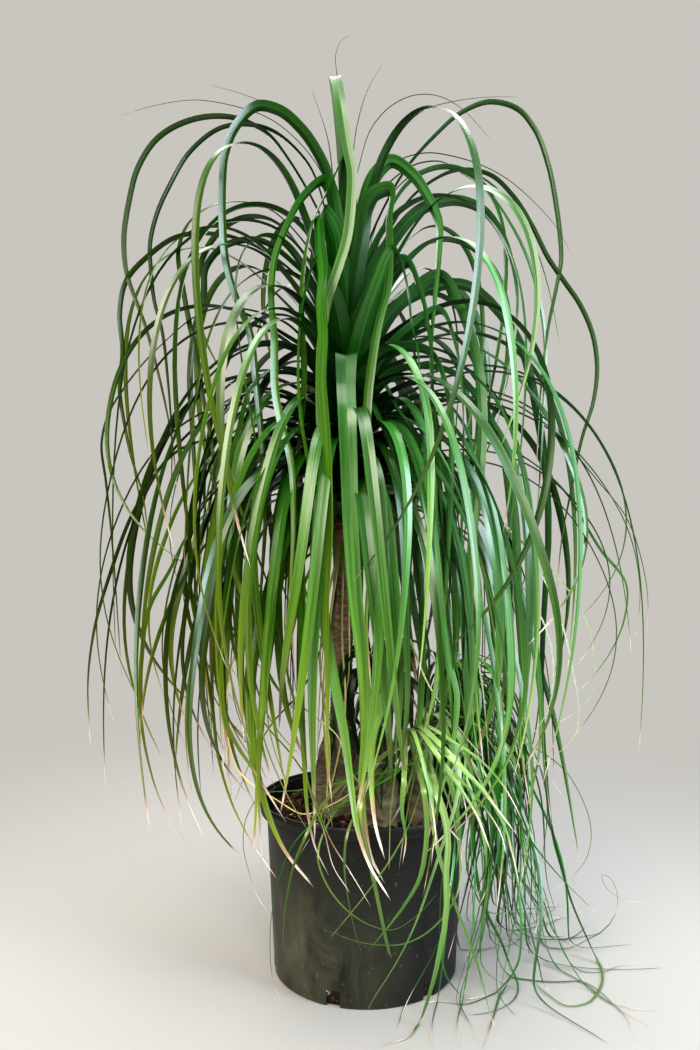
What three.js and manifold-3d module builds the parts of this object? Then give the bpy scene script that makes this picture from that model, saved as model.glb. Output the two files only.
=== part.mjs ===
// A potted ponytail palm: a nursery pot full of bark mix, a tall plant with a bare ringed trunk and a
// fountain of strap leaves, and three young plants beside it whose leaves spill over the rim to the floor.
// Millimetres, +Z up. The origin is the middle of the pot's underside; the front of the plant faces -Y.
import * as THREE from 'three';
import { mergeVertices } from 'three/addons/utils/BufferGeometryUtils.js';
import Module from 'manifold-3d';

const wasm = await Module();
wasm.setup();

// ---- driving dimensions ----

const GAP = 0.3; // between pieces that touch
const SINK = 4; // how far a leaf root runs inside the stem that carries it
const FLOOR_LIE = 1.8; // the height of the middle of a leaf that lies on the floor

const POT = {
  height: 225,
  baseRadius: 120,
  bodyTopRadius: 130, // under the rim
  rimRadius: 140,
  rimDepth: 17,
  rimLedge: 6,
  wall: 2.5,
  floor: 3,
  sides: 40,
};
const NOTCH = { count: 6, first: -110, width: 18, height: 21, depth: 16 }; // drainage cut-outs, degrees

const SOIL = {
  level: 207,
  relief: 4,
  waves: [17, 21, 11], // across, back and aslant: millimetres to a radian of its lumps
  sides: 28,
  ringShares: [0.86, 0.6, 0.3],
  holeSides: 12,
};

const TRUNK = {
  foot: [-35, -3],
  top: [-26, 0],
  buried: 38,
  caudexRadius: 34,
  radius: 14,
  topHeight: 590,
  bulb: 104, // height of the swollen foot above the soil
  ringPitch: 24,
  ringDepth: 0.9,
  ringLength: 3,
  sides: 12,
};
const CAUDEX_SIDES = 12;
const BULB_SHARES = [0.2, 0.42, 0.64, 0.84, 1]; // of a swollen foot's height, where its outline has points

const CROWN = {
  stemTop: 832,
  stemRadius: 14,
  budRadius: 5,
  stemSides: 8,
  narrowRoots: 775, // leaf roots sit closer to the stem's axis from this height up
  leafWidth: [10, 15],
  keel: 1.7,
  rootWidth: 6,
};

// The two storeys of the crown. Each pair goes from its lowest or innermost leaf to its highest, and every
// second leaf of the real number is made.
const ROSETTE = {
  leaves: 78,
  set: 100,
  root: [784, 824],
  rise: [55, 320],
  near: [190, 110],
  far: [320, 290],
  snap: [3, 5.5],
  lowTip: [330, 420],
  highTip: [560, 760],
  hang: [-93, -110],
};
const SKIRT = {
  leaves: 98,
  set: 200,
  root: [625, 780],
  rise: [26, 85],
  near: [120, 150],
  far: [335, 350],
  snap: [1.8, 2.8],
  lowTip: [140, 200],
  highTip: [330, 470],
  hang: [-86, -102],
};
const FRONT = { azimuth: -90, window: 24 }; // degrees that the two storeys leave open, where the trunk shows

// The leaves that give the crown its outline and its front. Azimuth runs from +X towards +Y in degrees; root,
// tip, reach, rise, length and width are millimetres; snap is how sharply a leaf turns over; hang is its last
// slope.
const LEADING_LEAVES = [
  { azimuth: 184, root: 815, reach: 296, rise: 312, snap: 6, tip: 430, width: 12, hang: -98 },
  { azimuth: 190, root: 812, reach: 262, rise: 300, snap: 5, tip: 480, width: 11, hang: -94 },
  { azimuth: 203, root: 818, reach: 178, rise: 300, snap: 6.5, tip: 520, width: 16, hang: -96 },
  { azimuth: 178, root: 818, reach: 420, rise: 330, snap: 4, length: 560, width: 8, hang: -90 },
  { azimuth: 168, root: 820, reach: 300, rise: 370, snap: 4, length: 440, width: 8, hang: -90 },
  { azimuth: 150, root: 822, reach: 90, rise: 372, snap: 8, length: 350, width: 8, hang: -90 },
  { azimuth: 20, root: 822, reach: 150, rise: 420, snap: 5, length: 395, width: 8, hang: -90 },
  { azimuth: -92, root: 822, reach: 95, rise: 335, snap: 7, tip: 760, width: 15, hang: -92 },
  { azimuth: 75, root: 822, reach: 60, rise: 500, snap: 8, length: 425, width: 8, hang: -90 },
  { azimuth: -142, root: 805, reach: 125, rise: 215, snap: 5, tip: 560, width: 14, hang: -93 },
  { azimuth: -94, root: 800, reach: 190, rise: 165, snap: 4, tip: 175, width: 16, hang: -90 },
  { azimuth: -60, root: 812, reach: 70, rise: 185, snap: 6, tip: 700, width: 15, hang: -96 },
  { azimuth: -4, root: 818, reach: 288, rise: 326, snap: 6, tip: 380, width: 13, hang: -96 },
  { azimuth: 10, root: 820, reach: 215, rise: 335, snap: 6, length: 540, width: 8, hang: -90 },
  { azimuth: 4, root: 815, reach: 400, rise: 335, snap: 5, length: 500, width: 8, hang: -90 },
  { azimuth: -14, root: 805, reach: 272, rise: 250, snap: 3.2, tip: 560, width: 13, hang: -91 },
  { azimuth: -7, root: 800, reach: 336, rise: 240, snap: 2.6, tip: 420, width: 13, hang: -97 },
  { azimuth: 14, root: 808, reach: 330, rise: 268, snap: 4, length: 660, width: 8, hang: -90 },
  { azimuth: -24, root: 800, reach: 235, rise: 205, snap: 4, tip: 500, width: 14, hang: -102 },
  { azimuth: -44, root: 815, reach: 150, rise: 232, snap: 5, tip: 640, width: 15, hang: -95 },
  { azimuth: -66, root: 790, reach: 112, rise: 130, snap: 4, tip: 430, width: 16, hang: -95 },
  { azimuth: -38, root: 770, reach: 175, rise: 110, snap: 3.2, tip: 430, width: 14, hang: -94 },
  { azimuth: -1, root: 735, reach: 396, rise: 62, snap: 2.6, tip: 430, width: 11, hang: -100 },
  { azimuth: -9, root: 715, reach: 372, rise: 70, snap: 2.8, tip: 300, width: 11, hang: -102 },
  { azimuth: -18, root: 792, reach: 262, rise: 215, snap: 3, length: 1430, width: 12, hang: -86 },
  { azimuth: -138, root: 790, reach: 92, rise: 120, snap: 4, tip: 560, width: 14, hang: -88 },
  { azimuth: 196, root: 790, reach: 215, rise: 210, snap: 4, tip: 380, width: 13, hang: -99 },
  { azimuth: 181, root: 790, reach: 300, rise: 200, snap: 3, tip: 400, width: 12, hang: -95 },
  { azimuth: 187, root: 745, reach: 322, rise: 105, snap: 3, tip: 330, width: 12, hang: -90 },
  { azimuth: -160, root: 720, reach: 140, rise: 70, snap: 3, tip: 330, width: 14, hang: -86 },
  { azimuth: -90, root: 735, reach: 135, rise: 60, snap: 3.5, tip: 285, width: 16, hang: -89 },
  { azimuth: 184, root: 690, reach: 338, rise: 55, snap: 2.4, tip: 330, width: 11, hang: -93 },
  { azimuth: 200, root: 690, reach: 185, rise: 70, snap: 3.5, tip: 260, width: 13, hang: -96 },
  { azimuth: -28, root: 790, reach: 235, rise: 205, snap: 4, tip: 600, width: 14, hang: -100 },
  { azimuth: -48, root: 760, reach: 200, rise: 95, snap: 3.4, tip: 400, width: 15, hang: -90 },
  { azimuth: -72, root: 700, reach: 185, rise: 50, snap: 3, tip: 240, width: 15, hang: -90 },
  { azimuth: -150, root: 790, reach: 212, rise: 122, snap: 3.6, tip: 520, width: 13, hang: -90 },
  { azimuth: -120, root: 795, reach: 118, rise: 120, snap: 4, tip: 480, width: 14, hang: -90 },
  { azimuth: -118, root: 620, reach: 205, rise: 40, snap: 3, tip: 240, width: 14, hang: -90 },
  { azimuth: -104, root: 625, reach: 180, rise: 45, snap: 3, tip: 230, width: 15, hang: -90 },
  { azimuth: -140, root: 640, reach: 200, rise: 45, snap: 3, tip: 250, width: 13, hang: -90 },
  { azimuth: -155, root: 640, reach: 210, rise: 45, snap: 3, tip: 210, width: 12, hang: -90 },
  { azimuth: -168, root: 625, reach: 235, rise: 30, snap: 3, tip: 210, width: 12, hang: -90 },
  { azimuth: -12, root: 640, reach: 362, rise: 30, snap: 2.6, tip: 300, width: 11, hang: -100 },
  { azimuth: -35, root: 650, reach: 178, rise: 45, snap: 3, tip: 260, width: 14, hang: -90 },
  { azimuth: -56, root: 660, reach: 170, rise: 40, snap: 3, tip: 250, width: 15, hang: -90 },
  { azimuth: -83, root: 690, reach: 178, rise: 40, snap: 3.4, tip: 230, width: 14, hang: -90 },
];

// The young plants: where each stands in the soil, its swollen foot, its stem top and how its leaves go.
const YOUNG_PLANTS = [
  {
    name: 'second',
    foot: [16, -46],
    buried: 35,
    caudexRadius: 30,
    neck: [8, -42, 326],
    stemLength: 22,
    stemRadius: 7.5,
    leaves: 14,
    middle: -20,
    spread: 300,
    reach: [40, 100],
    rise: [45, 110],
    length: [160, 260],
    width: 8,
    color: 0x1d4a1c,
  },
  {
    name: 'third',
    foot: [70, -46],
    buried: 24,
    caudexRadius: 16,
    neck: [66, -46, 304],
    stemLength: 20,
    stemRadius: 7,
    leaves: 20,
    middle: -22,
    spread: 130,
    reach: [70, 160],
    rise: [12, 45],
    length: [260, 600],
    width: 9,
    color: 0x9cc452,
  },
  {
    name: 'fourth',
    foot: [90, 26],
    buried: 26,
    caudexRadius: 18,
    neck: [108, 18, 322],
    stemLength: 26,
    stemRadius: 7,
    leaves: 32,
    middle: 4,
    spread: 200,
    reach: [60, 150],
    rise: [14, 75],
    length: [330, 680],
    width: 9,
    color: 0x8fb85a,
  },
];

const YOUNG_BUD_RADIUS = 2;
const GOLDEN_ANGLE = 137.508;
const STEEPEST = 87; // the slope at which a leaf can leave its stem, degrees
const LINE_STEP = 3; // between the points of a leaf's line
const LANDING = 30; // the height over which a leaf turns on to the floor
const LYING = 0.3; // the share of that height below which a leaf curls along the floor
const SWING_STEP = 0.02; // in bend lengths, as is the next
const SWING_END = 3.2;
const SHARPEST = 14; // the highest snap
const HALVINGS = 20;
const BLADE_STATIONS = 8;
const BLADE_WIDTHS = [[0.22, 1], [0.45, 0.92], [1, 0.18]]; // [share of its length, share of its width]
const END_KEEL = 0.6; // a blade's keel at its end, as a share of that at its root
const SHORT_EDGE = 0.02;
const STRAIGHT_EFFORT = 0.0022; // how much a straight millimetre counts beside a radian of bend
const TRIES = 9; // for a leaf that meets another piece
const TURN_ASIDE = 4; // degrees at each second try
const LIFT = 22; // by which each try ends a leaf higher
const SHORTEN = 0.04; // or the share by which it shortens it
const RAD = Math.PI / 180;

// ---- small tools ----

const lerp = (a, b, t) => a + (b - a) * t;
const clamp01 = (t) => Math.min(1, Math.max(0, t));

// A repeatable draw between 0 and 1 for item i of a set.
function draw(set, i) {
  const v = Math.sin(i * 12.9898 + set * 78.233) * 43758.5453;
  return v - Math.floor(v);
}

// Straight lines between [t, value] stops.
function ramp(stops, t) {
  for (let i = 1; i < stops.length; i++) {
    const [t0, v0] = stops[i - 1];
    const [t1, v1] = stops[i];
    if (t <= t1) return lerp(v0, v1, clamp01((t - t0) / (t1 - t0)));
  }
  return stops[stops.length - 1][1];
}

function toSolid(geometry) {
  const bare = geometry.clone();
  bare.deleteAttribute('normal');
  bare.deleteAttribute('uv');
  const merged = mergeVertices(bare, 1e-3);
  return new wasm.Manifold(
    new wasm.Mesh({
      numProp: 3,
      vertProperties: merged.attributes.position.array,
      triVerts: new Uint32Array(merged.index.array),
    }),
  );
}

function toGeometry(solid) {
  const mesh = solid.getMesh();
  const geometry = new THREE.BufferGeometry();
  geometry.setAttribute('position', new THREE.BufferAttribute(mesh.vertProperties.slice(), 3));
  geometry.setIndex(new THREE.BufferAttribute(mesh.triVerts.slice(), 1));
  geometry.computeVertexNormals();
  return geometry;
}

// Turns a profile of [radius, height] points about the Z axis.
function lathe(profile, sides) {
  const points = profile.map(([r, z]) => new THREE.Vector2(r, z));
  return new THREE.LatheGeometry(points, sides).rotateX(Math.PI / 2);
}

// Moves every vertex by what move(point) does to it.
function reshape(geometry, move) {
  const position = geometry.attributes.position;
  const point = new THREE.Vector3();
  for (let i = 0; i < position.count; i++) {
    point.fromBufferAttribute(position, i);
    move(point);
    position.setXYZ(i, point.x, point.y, point.z);
  }
  return geometry;
}

function piece(name, geometry, color, roughness) {
  const material = new THREE.MeshStandardMaterial({ color, roughness, metalness: 0 });
  const mesh = new THREE.Mesh(geometry, material);
  mesh.name = name;
  return mesh;
}

// ---- pot ----

function potSolid() {
  const { height, baseRadius, bodyTopRadius, rimRadius, rimDepth, rimLedge, wall, floor, sides } = POT;
  const underRim = height - rimDepth;
  const bead = 2;
  const body = lathe(
    [
      [0, 0],
      [baseRadius - bead, 0],
      [baseRadius, bead],
      [bodyTopRadius, underRim],
      [rimRadius - bead / 2, underRim],
      [rimRadius, underRim + bead / 2],
      [rimRadius, height - bead],
      [rimRadius - bead / 2, height],
      [rimRadius - rimLedge, height],
      [rimRadius - rimLedge, height - bead],
      [bodyTopRadius - wall, underRim - bead],
      [baseRadius - wall, floor],
      [0, floor],
    ],
    sides,
  );
  let pot = toSolid(body);
  for (let i = 0; i < NOTCH.count; i++) {
    const cutter = new THREE.BoxGeometry(NOTCH.depth, NOTCH.width, 2 * NOTCH.height);
    cutter.translate(baseRadius, 0, 0);
    cutter.rotateZ((NOTCH.first + (360 / NOTCH.count) * i) * RAD);
    pot = pot.subtract(toSolid(cutter));
  }
  return pot;
}

// ---- soil ----

function soilHeight(x, y) {
  const [across, back, aslant] = SOIL.waves;
  const lumps = Math.sin(x / across + 1) * Math.cos(y / back) + 0.6 * Math.sin((x + y) / aslant);
  return SOIL.level + SOIL.relief * lumps;
}

function soilSolid() {
  const { height, baseRadius, bodyTopRadius, rimDepth, wall, floor, sides } = POT;
  const bottom = floor + GAP;
  const flat = Math.cos(Math.PI / sides); // the wall is nearest the axis at the middle of each side
  const inner = (z) => (lerp(baseRadius, bodyTopRadius, z / (height - rimDepth)) - wall) * flat - GAP;
  const edge = SOIL.level - SOIL.relief * 2;
  const rings = SOIL.ringShares.map((share) => [inner(edge) * share, SOIL.level]);
  const side = [[0, bottom], [inner(bottom), bottom], [inner(edge), edge]];
  const body = lathe([...side, ...rings, [0, SOIL.level]], SOIL.sides);
  reshape(body, (p) => {
    if (p.z > edge + 1) p.z = soilHeight(p.x, p.y);
  });
  let soil = toSolid(body);
  for (const { foot, caudexRadius, buried } of [TRUNK, ...YOUNG_PLANTS]) {
    const radius = caudexRadius + GAP;
    const hole = new THREE.CylinderGeometry(radius, radius, 2 * buried, SOIL.holeSides);
    hole.rotateX(Math.PI / 2).translate(foot[0], foot[1], SOIL.level - GAP);
    soil = soil.subtract(toSolid(hole));
  }
  return soil;
}

// ---- trunk and swollen feet ----

// A turned body that stands upright in the soil and leans smoothly from there to its top.
function leaningLathe(profile, sides, foot, top) {
  const z1 = profile[profile.length - 1][1];
  return reshape(lathe(profile, sides), (p) => {
    const t = clamp01((p.z - SOIL.level) / (z1 - SOIL.level));
    const eased = t * t * (3 - 2 * t);
    p.x += lerp(foot[0], top[0], eased);
    p.y += lerp(foot[1], top[1], eased);
  });
}

// The buried part of a plant's foot, up to just under the soil.
function footProfile({ buried, caudexRadius }) {
  const bottom = SOIL.level - buried;
  return [[0, bottom], [caudexRadius, bottom], [caudexRadius, SOIL.level - SOIL.relief]];
}

// A foot that swells above the soil and narrows along a quarter ellipse to its neck.
function bulbProfile(plant, neckRadius, neckHeight) {
  const profile = footProfile(plant);
  for (const t of BULB_SHARES) {
    const radius = lerp(neckRadius, plant.caudexRadius, Math.sqrt(1 - t * t));
    profile.push([radius, lerp(SOIL.level, neckHeight, t)]);
  }
  return profile;
}

function trunkSolid() {
  const { foot, top, radius, topHeight, bulb, sides } = TRUNK;
  const { ringPitch, ringDepth, ringLength } = TRUNK;
  const neckHeight = SOIL.level + bulb;
  const profile = bulbProfile(TRUNK, radius, neckHeight);
  for (let z = neckHeight + ringPitch; z < topHeight - ringPitch / 2; z += ringPitch) {
    profile.push([radius - ringDepth, z - ringLength / 2]);
    profile.push([radius, z + ringLength / 2]);
  }
  profile.push([radius, topHeight - GAP]);
  profile.push([0, topHeight - GAP]);
  return toSolid(leaningLathe(profile, sides, foot, top));
}

function caudexSolid(plant) {
  const { foot, neck, stemRadius } = plant;
  const top = neck[2] - GAP;
  const profile = [...bulbProfile(plant, stemRadius, top), [0, top]];
  return toSolid(leaningLathe(profile, CAUDEX_SIDES, foot, neck));
}

// ---- leaves ----

// The slope of a leaf, in degrees, at a distance along it counted in bend lengths.
const slopeAt = (bends, { slope, snap, hang }) => hang + (slope - hang) / (1 + Math.pow(bends, snap));

// How far out and how high a leaf with a bend length of 1 swings.
function swing(arch) {
  let out = 0;
  let up = 0;
  let furthest = 0;
  let highest = 0;
  for (let s = SWING_STEP / 2; s < SWING_END; s += SWING_STEP) {
    const angle = slopeAt(s, arch) * RAD;
    out += Math.cos(angle) * SWING_STEP;
    up += Math.sin(angle) * SWING_STEP;
    furthest = Math.max(furthest, out);
    highest = Math.max(highest, up);
  }
  return { out: furthest, up: highest };
}

// The slope at the root and the bend length that give a leaf its reach and its rise.
function archFor(reach, rise, snap, hang) {
  const arch = { slope: STEEPEST, snap, hang };
  const ratio = () => {
    const { out, up } = swing(arch);
    return out / up;
  };
  while (ratio() > reach / rise && arch.snap < SHARPEST) arch.snap += 0.5;
  let low = 2;
  let high = STEEPEST;
  for (let halving = 0; halving < HALVINGS; halving++) {
    arch.slope = (low + high) / 2;
    if (ratio() > reach / rise) low = arch.slope;
    else high = arch.slope;
  }
  arch.bend = rise / swing(arch).up;
  return arch;
}

// The line of a leaf: it arches over to hang, and lies along the floor where it gets there.
function leafLine({ root, azimuth, tip = -1, length = 2000, lean = 0, curl = 0, ...form }) {
  const { reach, rise, snap, hang = -90 } = form;
  const arch = archFor(reach, rise, snap, hang);
  const step = LINE_STEP;
  const line = [];
  const at = new THREE.Vector3(...root);
  let heading = azimuth * RAD;
  for (let s = 0; s <= length; s += step) {
    const angle = slopeAt((s + step / 2) / arch.bend, arch) * RAD;
    const soft = clamp01((at.z - FLOOR_LIE) / LANDING);
    const falling = angle < 0;
    const tilt = falling ? angle * soft : angle;
    line.push({ at: at.clone(), heading, tilt, s });
    if (falling && at.z < tip) break;
    if (soft < LYING && falling) heading += curl * RAD * step;
    const drift = lean * soft * (1 - 1 / (1 + Math.pow(s / arch.bend, arch.snap)));
    at.x += (Math.cos(heading) * Math.cos(tilt) - Math.sin(heading) * drift) * step;
    at.y += (Math.sin(heading) * Math.cos(tilt) + Math.cos(heading) * drift) * step;
    at.z = Math.max(FLOOR_LIE, at.z + Math.sin(tilt) * step);
  }
  return line;
}

// Picks `count` stations along a line, close together where it bends.
function stations(line, count) {
  const effort = [0];
  for (let i = 1; i < line.length; i++) {
    const turn = Math.abs(line[i].tilt - line[i - 1].tilt) + Math.abs(line[i].heading - line[i - 1].heading);
    effort.push(effort[i - 1] + turn + STRAIGHT_EFFORT * (line[i].s - line[i - 1].s));
  }
  const total = effort[effort.length - 1];
  const picked = [];
  let i = 0;
  for (let k = 0; k < count; k++) {
    while (effort[i] < (total * k) / (count - 1) - 1e-9) i++;
    picked.push(line[i]);
  }
  return picked;
}

// A three-cornered blade along a line: two edges and a keel below, from a narrow root to a point.
function blade(line, { width, rootWidth, keel }) {
  const length = line[line.length - 1].s;
  const points = [];
  const triangles = [];
  const widths = BLADE_WIDTHS.map(([share, part]) => [share, part * width]);
  const picked = stations(line, BLADE_STATIONS);
  for (const { at, heading, tilt, s } of picked.slice(0, -1)) {
    const t = s / length;
    const across = ramp([[0, rootWidth], ...widths], t) / 2;
    const deep = lerp(keel, keel * END_KEEL, t);
    const side = new THREE.Vector3(-Math.sin(heading), Math.cos(heading), 0);
    const up = new THREE.Vector3(
      -Math.sin(tilt) * Math.cos(heading),
      -Math.sin(tilt) * Math.sin(heading),
      Math.cos(tilt),
    );
    points.push(
      at.clone().addScaledVector(side, across),
      at.clone().addScaledVector(side, -across),
      at.clone().addScaledVector(up, -deep),
    );
  }
  points.push(picked[picked.length - 1].at);
  const rings = picked.length - 1;
  triangles.push(0, 2, 1);
  for (let r = 0; r < rings - 1; r++) {
    for (let c = 0; c < 3; c++) {
      const a = 3 * r + c;
      const b = 3 * r + ((c + 1) % 3);
      triangles.push(a, b, a + 3, b, b + 3, a + 3);
    }
  }
  const last = 3 * (rings - 1);
  for (let c = 0; c < 3; c++) triangles.push(last + c, last + ((c + 1) % 3), points.length - 1);
  return new wasm.Manifold(
    new wasm.Mesh({
      numProp: 3,
      vertProperties: new Float32Array(points.flatMap((p) => [p.x, p.y, p.z])),
      triVerts: new Uint32Array(triangles),
    }),
  );
}

// Joins solids into one body: a hollow that they seal between them is filled, a loose scrap is dropped, and
// edges too short to matter are closed up.
function fuse(solids) {
  const bodies = wasm.Manifold.union(solids).decompose();
  return bodies.reduce((most, body) => (body.volume() > most.volume() ? body : most)).simplify(SHORT_EDGE);
}

const touches = (solid, others) => others.some((other) => !solid.intersect(other).isEmpty());

// Tries a leaf as drawn, then turned a little to either side or cut shorter, until it is clear.
function clearBlade(leaf, shape, others) {
  for (let attempt = 0; attempt < TRIES; attempt++) {
    const turned = leaf.azimuth + (attempt % 2 ? 1 : -1) * TURN_ASIDE * Math.ceil(attempt / 2);
    const tip = leaf.tip === undefined ? undefined : leaf.tip + LIFT * attempt;
    const length = leaf.length === undefined ? undefined : leaf.length * (1 - SHORTEN * attempt);
    const made = blade(leafLine({ ...leaf, azimuth: turned, tip, length }), shape);
    if (!touches(made, others)) return made;
  }
  return null;
}

function rootOn([x, y], radius, azimuth, z) {
  const out = radius - SINK;
  return [x + Math.cos(azimuth * RAD) * out, y + Math.sin(azimuth * RAD) * out, z];
}

// A stem that ends in a blunt bud, upright at [x, y].
function leafyStem([x, y], bottom, bottomRadius, radius, top, budRadius, sides) {
  const shoulder = lerp(bottom, top, 0.8);
  const waist = lerp(bottom, top, 0.2);
  const flank = [[bottomRadius, bottom], [radius, waist], [radius, shoulder], [budRadius, top]];
  return toSolid(lathe([[0, bottom], ...flank, [0, top]], sides).translate(x, y, 0));
}

function crownLeaf(storey, i) {
  const { leaves, set, root, rise, near, far, snap, lowTip, highTip, hang } = storey;
  const up = (i + 0.5) / leaves;
  const at = ([low, high]) => lerp(low, high, up);
  const outward = Math.pow(draw(set + 1, i), 0.8);
  return {
    azimuth: i * GOLDEN_ANGLE,
    root: at(root),
    reach: lerp(at(near), at(far), outward),
    rise: at(rise) * lerp(0.66, 1, outward) * lerp(0.85, 1, draw(set + 3, i)),
    snap: at(snap) * lerp(0.85, 1.25, draw(set + 7, i)),
    hang: lerp(hang[0], hang[1], draw(set + 2, i)),
    tip: lerp(at(lowTip), at(highTip), draw(set + 4, i)),
    lean: lerp(-0.1, 0.1, draw(set + 5, i)),
    width: lerp(...CROWN.leafWidth, draw(set + 6, i)),
  };
}

// Every second leaf of a storey, without those that would hang before the trunk.
function storeyLeaves(storey) {
  const leaves = [];
  for (let i = 0; i < storey.leaves; i += 2) {
    const leaf = crownLeaf(storey, i);
    const aside = Math.abs(((leaf.azimuth - FRONT.azimuth + 180) % 360) - 180);
    if (aside > FRONT.window) leaves.push(leaf);
  }
  return leaves;
}

function crownSolid(others) {
  const { stemTop, stemRadius, budRadius, stemSides, narrowRoots, keel, rootWidth } = CROWN;
  const { top, topHeight, radius: trunkRadius } = TRUNK;
  const solids = [leafyStem(top, topHeight, trunkRadius, stemRadius, stemTop, budRadius, stemSides)];
  for (const leaf of [...LEADING_LEAVES, ...storeyLeaves(ROSETTE), ...storeyLeaves(SKIRT)]) {
    const radius = ramp([[narrowRoots, stemRadius], [stemTop, budRadius + 2]], leaf.root);
    const root = rootOn(top, radius, leaf.azimuth, leaf.root);
    const made = clearBlade({ ...leaf, root }, { width: leaf.width, rootWidth, keel }, others);
    if (made) solids.push(made);
  }
  return fuse(solids);
}

function youngLeaves(plant, set, others) {
  const { neck, stemLength, stemRadius, leaves, middle, spread, reach, rise, length, width } = plant;
  const top = neck[2] + stemLength;
  const solids = [leafyStem(neck, neck[2], stemRadius, stemRadius, top, YOUNG_BUD_RADIUS, CROWN.stemSides)];
  for (let i = 0; i < leaves; i++) {
    const up = (i + 0.5) / leaves;
    const turn = ((i * GOLDEN_ANGLE) / 360) % 1;
    const azimuth = middle + spread * (turn - 0.5);
    const outward = draw(set, i);
    const leaf = {
      root: rootOn(neck, stemRadius, azimuth, neck[2] + lerp(3, stemLength * 0.72, up)),
      azimuth,
      reach: lerp(reach[0], reach[1], outward),
      rise: lerp(rise[0], rise[1], up) * lerp(0.7, 1, outward),
      snap: 3,
      length: lerp(length[0], length[1], draw(set + 1, i)),
      lean: lerp(-0.12, 0.12, draw(set + 2, i)),
      curl: lerp(-0.5, 0.5, draw(set + 3, i)),
    };
    const shape = { width: width * lerp(0.75, 1.1, draw(set + 4, i)), rootWidth: width * 0.7, keel: 1.3 };
    const made = clearBlade(leaf, shape, others);
    if (made) solids.push(made);
  }
  return fuse(solids);
}

// ---- assembly ----

const palm = new THREE.Group();
const pot = potSolid();
const soil = soilSolid();
const trunk = trunkSolid();
palm.add(piece('pot', toGeometry(pot), 0x2c2d2d, 0.55));
palm.add(piece('soil', toGeometry(soil), 0x5a3a24, 0.95));
palm.add(piece('trunk', toGeometry(trunk), 0x8a7058, 0.85));

const placed = [pot, soil, trunk];
for (const plant of YOUNG_PLANTS) {
  const caudex = caudexSolid(plant);
  placed.push(caudex);
  palm.add(piece(`${plant.name}_caudex`, toGeometry(caudex), 0x7d7265, 0.85));
}
YOUNG_PLANTS.forEach((plant, i) => {
  const leaves = youngLeaves(plant, 20 + 10 * i, placed);
  placed.push(leaves);
  palm.add(piece(`${plant.name}_leaves`, toGeometry(leaves), plant.color, 0.5));
});
palm.add(piece('crown_leaves', toGeometry(crownSolid(placed)), 0x3f8f2c, 0.45));

export default palm;
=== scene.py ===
"""A potted ponytail palm: a ringed trunk under a fountain of strap leaves, with three young plants
beside it, in a round nursery pot of bark mix. Lengths are millimetres until a mesh is made.
The origin is the middle of the pot's underside, +Z is up and the front faces -Y."""
import math
from dataclasses import dataclass

import bmesh
import bpy
import numpy as np
from mathutils import Matrix, Vector, noise


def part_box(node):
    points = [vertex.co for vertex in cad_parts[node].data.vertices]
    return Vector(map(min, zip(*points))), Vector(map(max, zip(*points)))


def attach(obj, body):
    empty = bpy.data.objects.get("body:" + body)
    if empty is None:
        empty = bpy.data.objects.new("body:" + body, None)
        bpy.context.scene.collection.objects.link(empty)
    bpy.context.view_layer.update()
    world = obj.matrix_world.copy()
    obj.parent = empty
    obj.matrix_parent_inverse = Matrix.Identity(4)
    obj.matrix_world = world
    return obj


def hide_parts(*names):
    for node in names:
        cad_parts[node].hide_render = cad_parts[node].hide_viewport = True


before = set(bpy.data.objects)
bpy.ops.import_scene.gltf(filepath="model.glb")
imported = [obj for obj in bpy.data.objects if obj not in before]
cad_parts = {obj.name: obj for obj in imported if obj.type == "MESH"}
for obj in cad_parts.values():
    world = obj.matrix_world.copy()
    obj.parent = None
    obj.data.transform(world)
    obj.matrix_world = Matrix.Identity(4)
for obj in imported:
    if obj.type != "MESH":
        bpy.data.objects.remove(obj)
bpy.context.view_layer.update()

MM = 0.001
GOLDEN_ANGLE = 137.508
FLOOR_LIE = 2.0  # the height of a leaf's middle where it lies on the floor
SOIL_LEVEL = 207  # the soil's surface, above the pot's underside

# The camera, in millimetres and in pixels of its 700 by 1050 picture.
CAMERA_AT = (-20, -1236, 590)
PICTURE = (700, 1050)
FOCAL = 927
HORIZON = 521


# ---- small tools ----

def lerp(a, b, t):
    return a + (b - a) * t


def clamp01(t):
    return min(1.0, max(0.0, t))


def smooth(t):
    t = np.clip(t, 0.0, 1.0)
    return t * t * (3 - 2 * t)


def draw(series, i):
    """A repeatable draw between 0 and 1 for item i of a series."""
    v = math.sin(i * 12.9898 + series * 78.233) * 43758.5453
    return v - math.floor(v)


def ramp(stops, t):
    """Straight lines between (t, value) stops."""
    return np.interp(t, [s[0] for s in stops], [s[1] for s in stops])


def per_metre(size):
    """How often a pattern of a size in millimetres repeats in a metre."""
    return 1 / (size * MM)


def linear(hex_colour):
    """A colour given in sRGB, such as #3c8a28, as the linear colour that a shader takes."""
    channels = [int(hex_colour[i:i + 2], 16) / 255 for i in (1, 3, 5)]
    return [c / 12.92 if c <= 0.04045 else ((c + 0.055) / 1.055) ** 2.4 for c in channels] + [1.0]


def make_object(name, vertices, faces, material, nodes, sharp_at=None):
    """A smooth-shaded mesh in metres that rides with the plant and stands for CAD nodes."""
    mesh = bpy.data.meshes.new(name)
    mesh.from_pydata((np.asarray(vertices) * MM).tolist(), [], faces)
    mesh.shade_smooth()
    if sharp_at is not None:
        mesh.set_sharp_from_angle(angle=math.radians(sharp_at))
    piece = bpy.data.objects.new(name, mesh)
    bpy.context.scene.collection.objects.link(piece)
    mesh.materials.append(material)
    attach(piece, "root")
    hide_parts(*nodes)
    return piece


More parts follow.
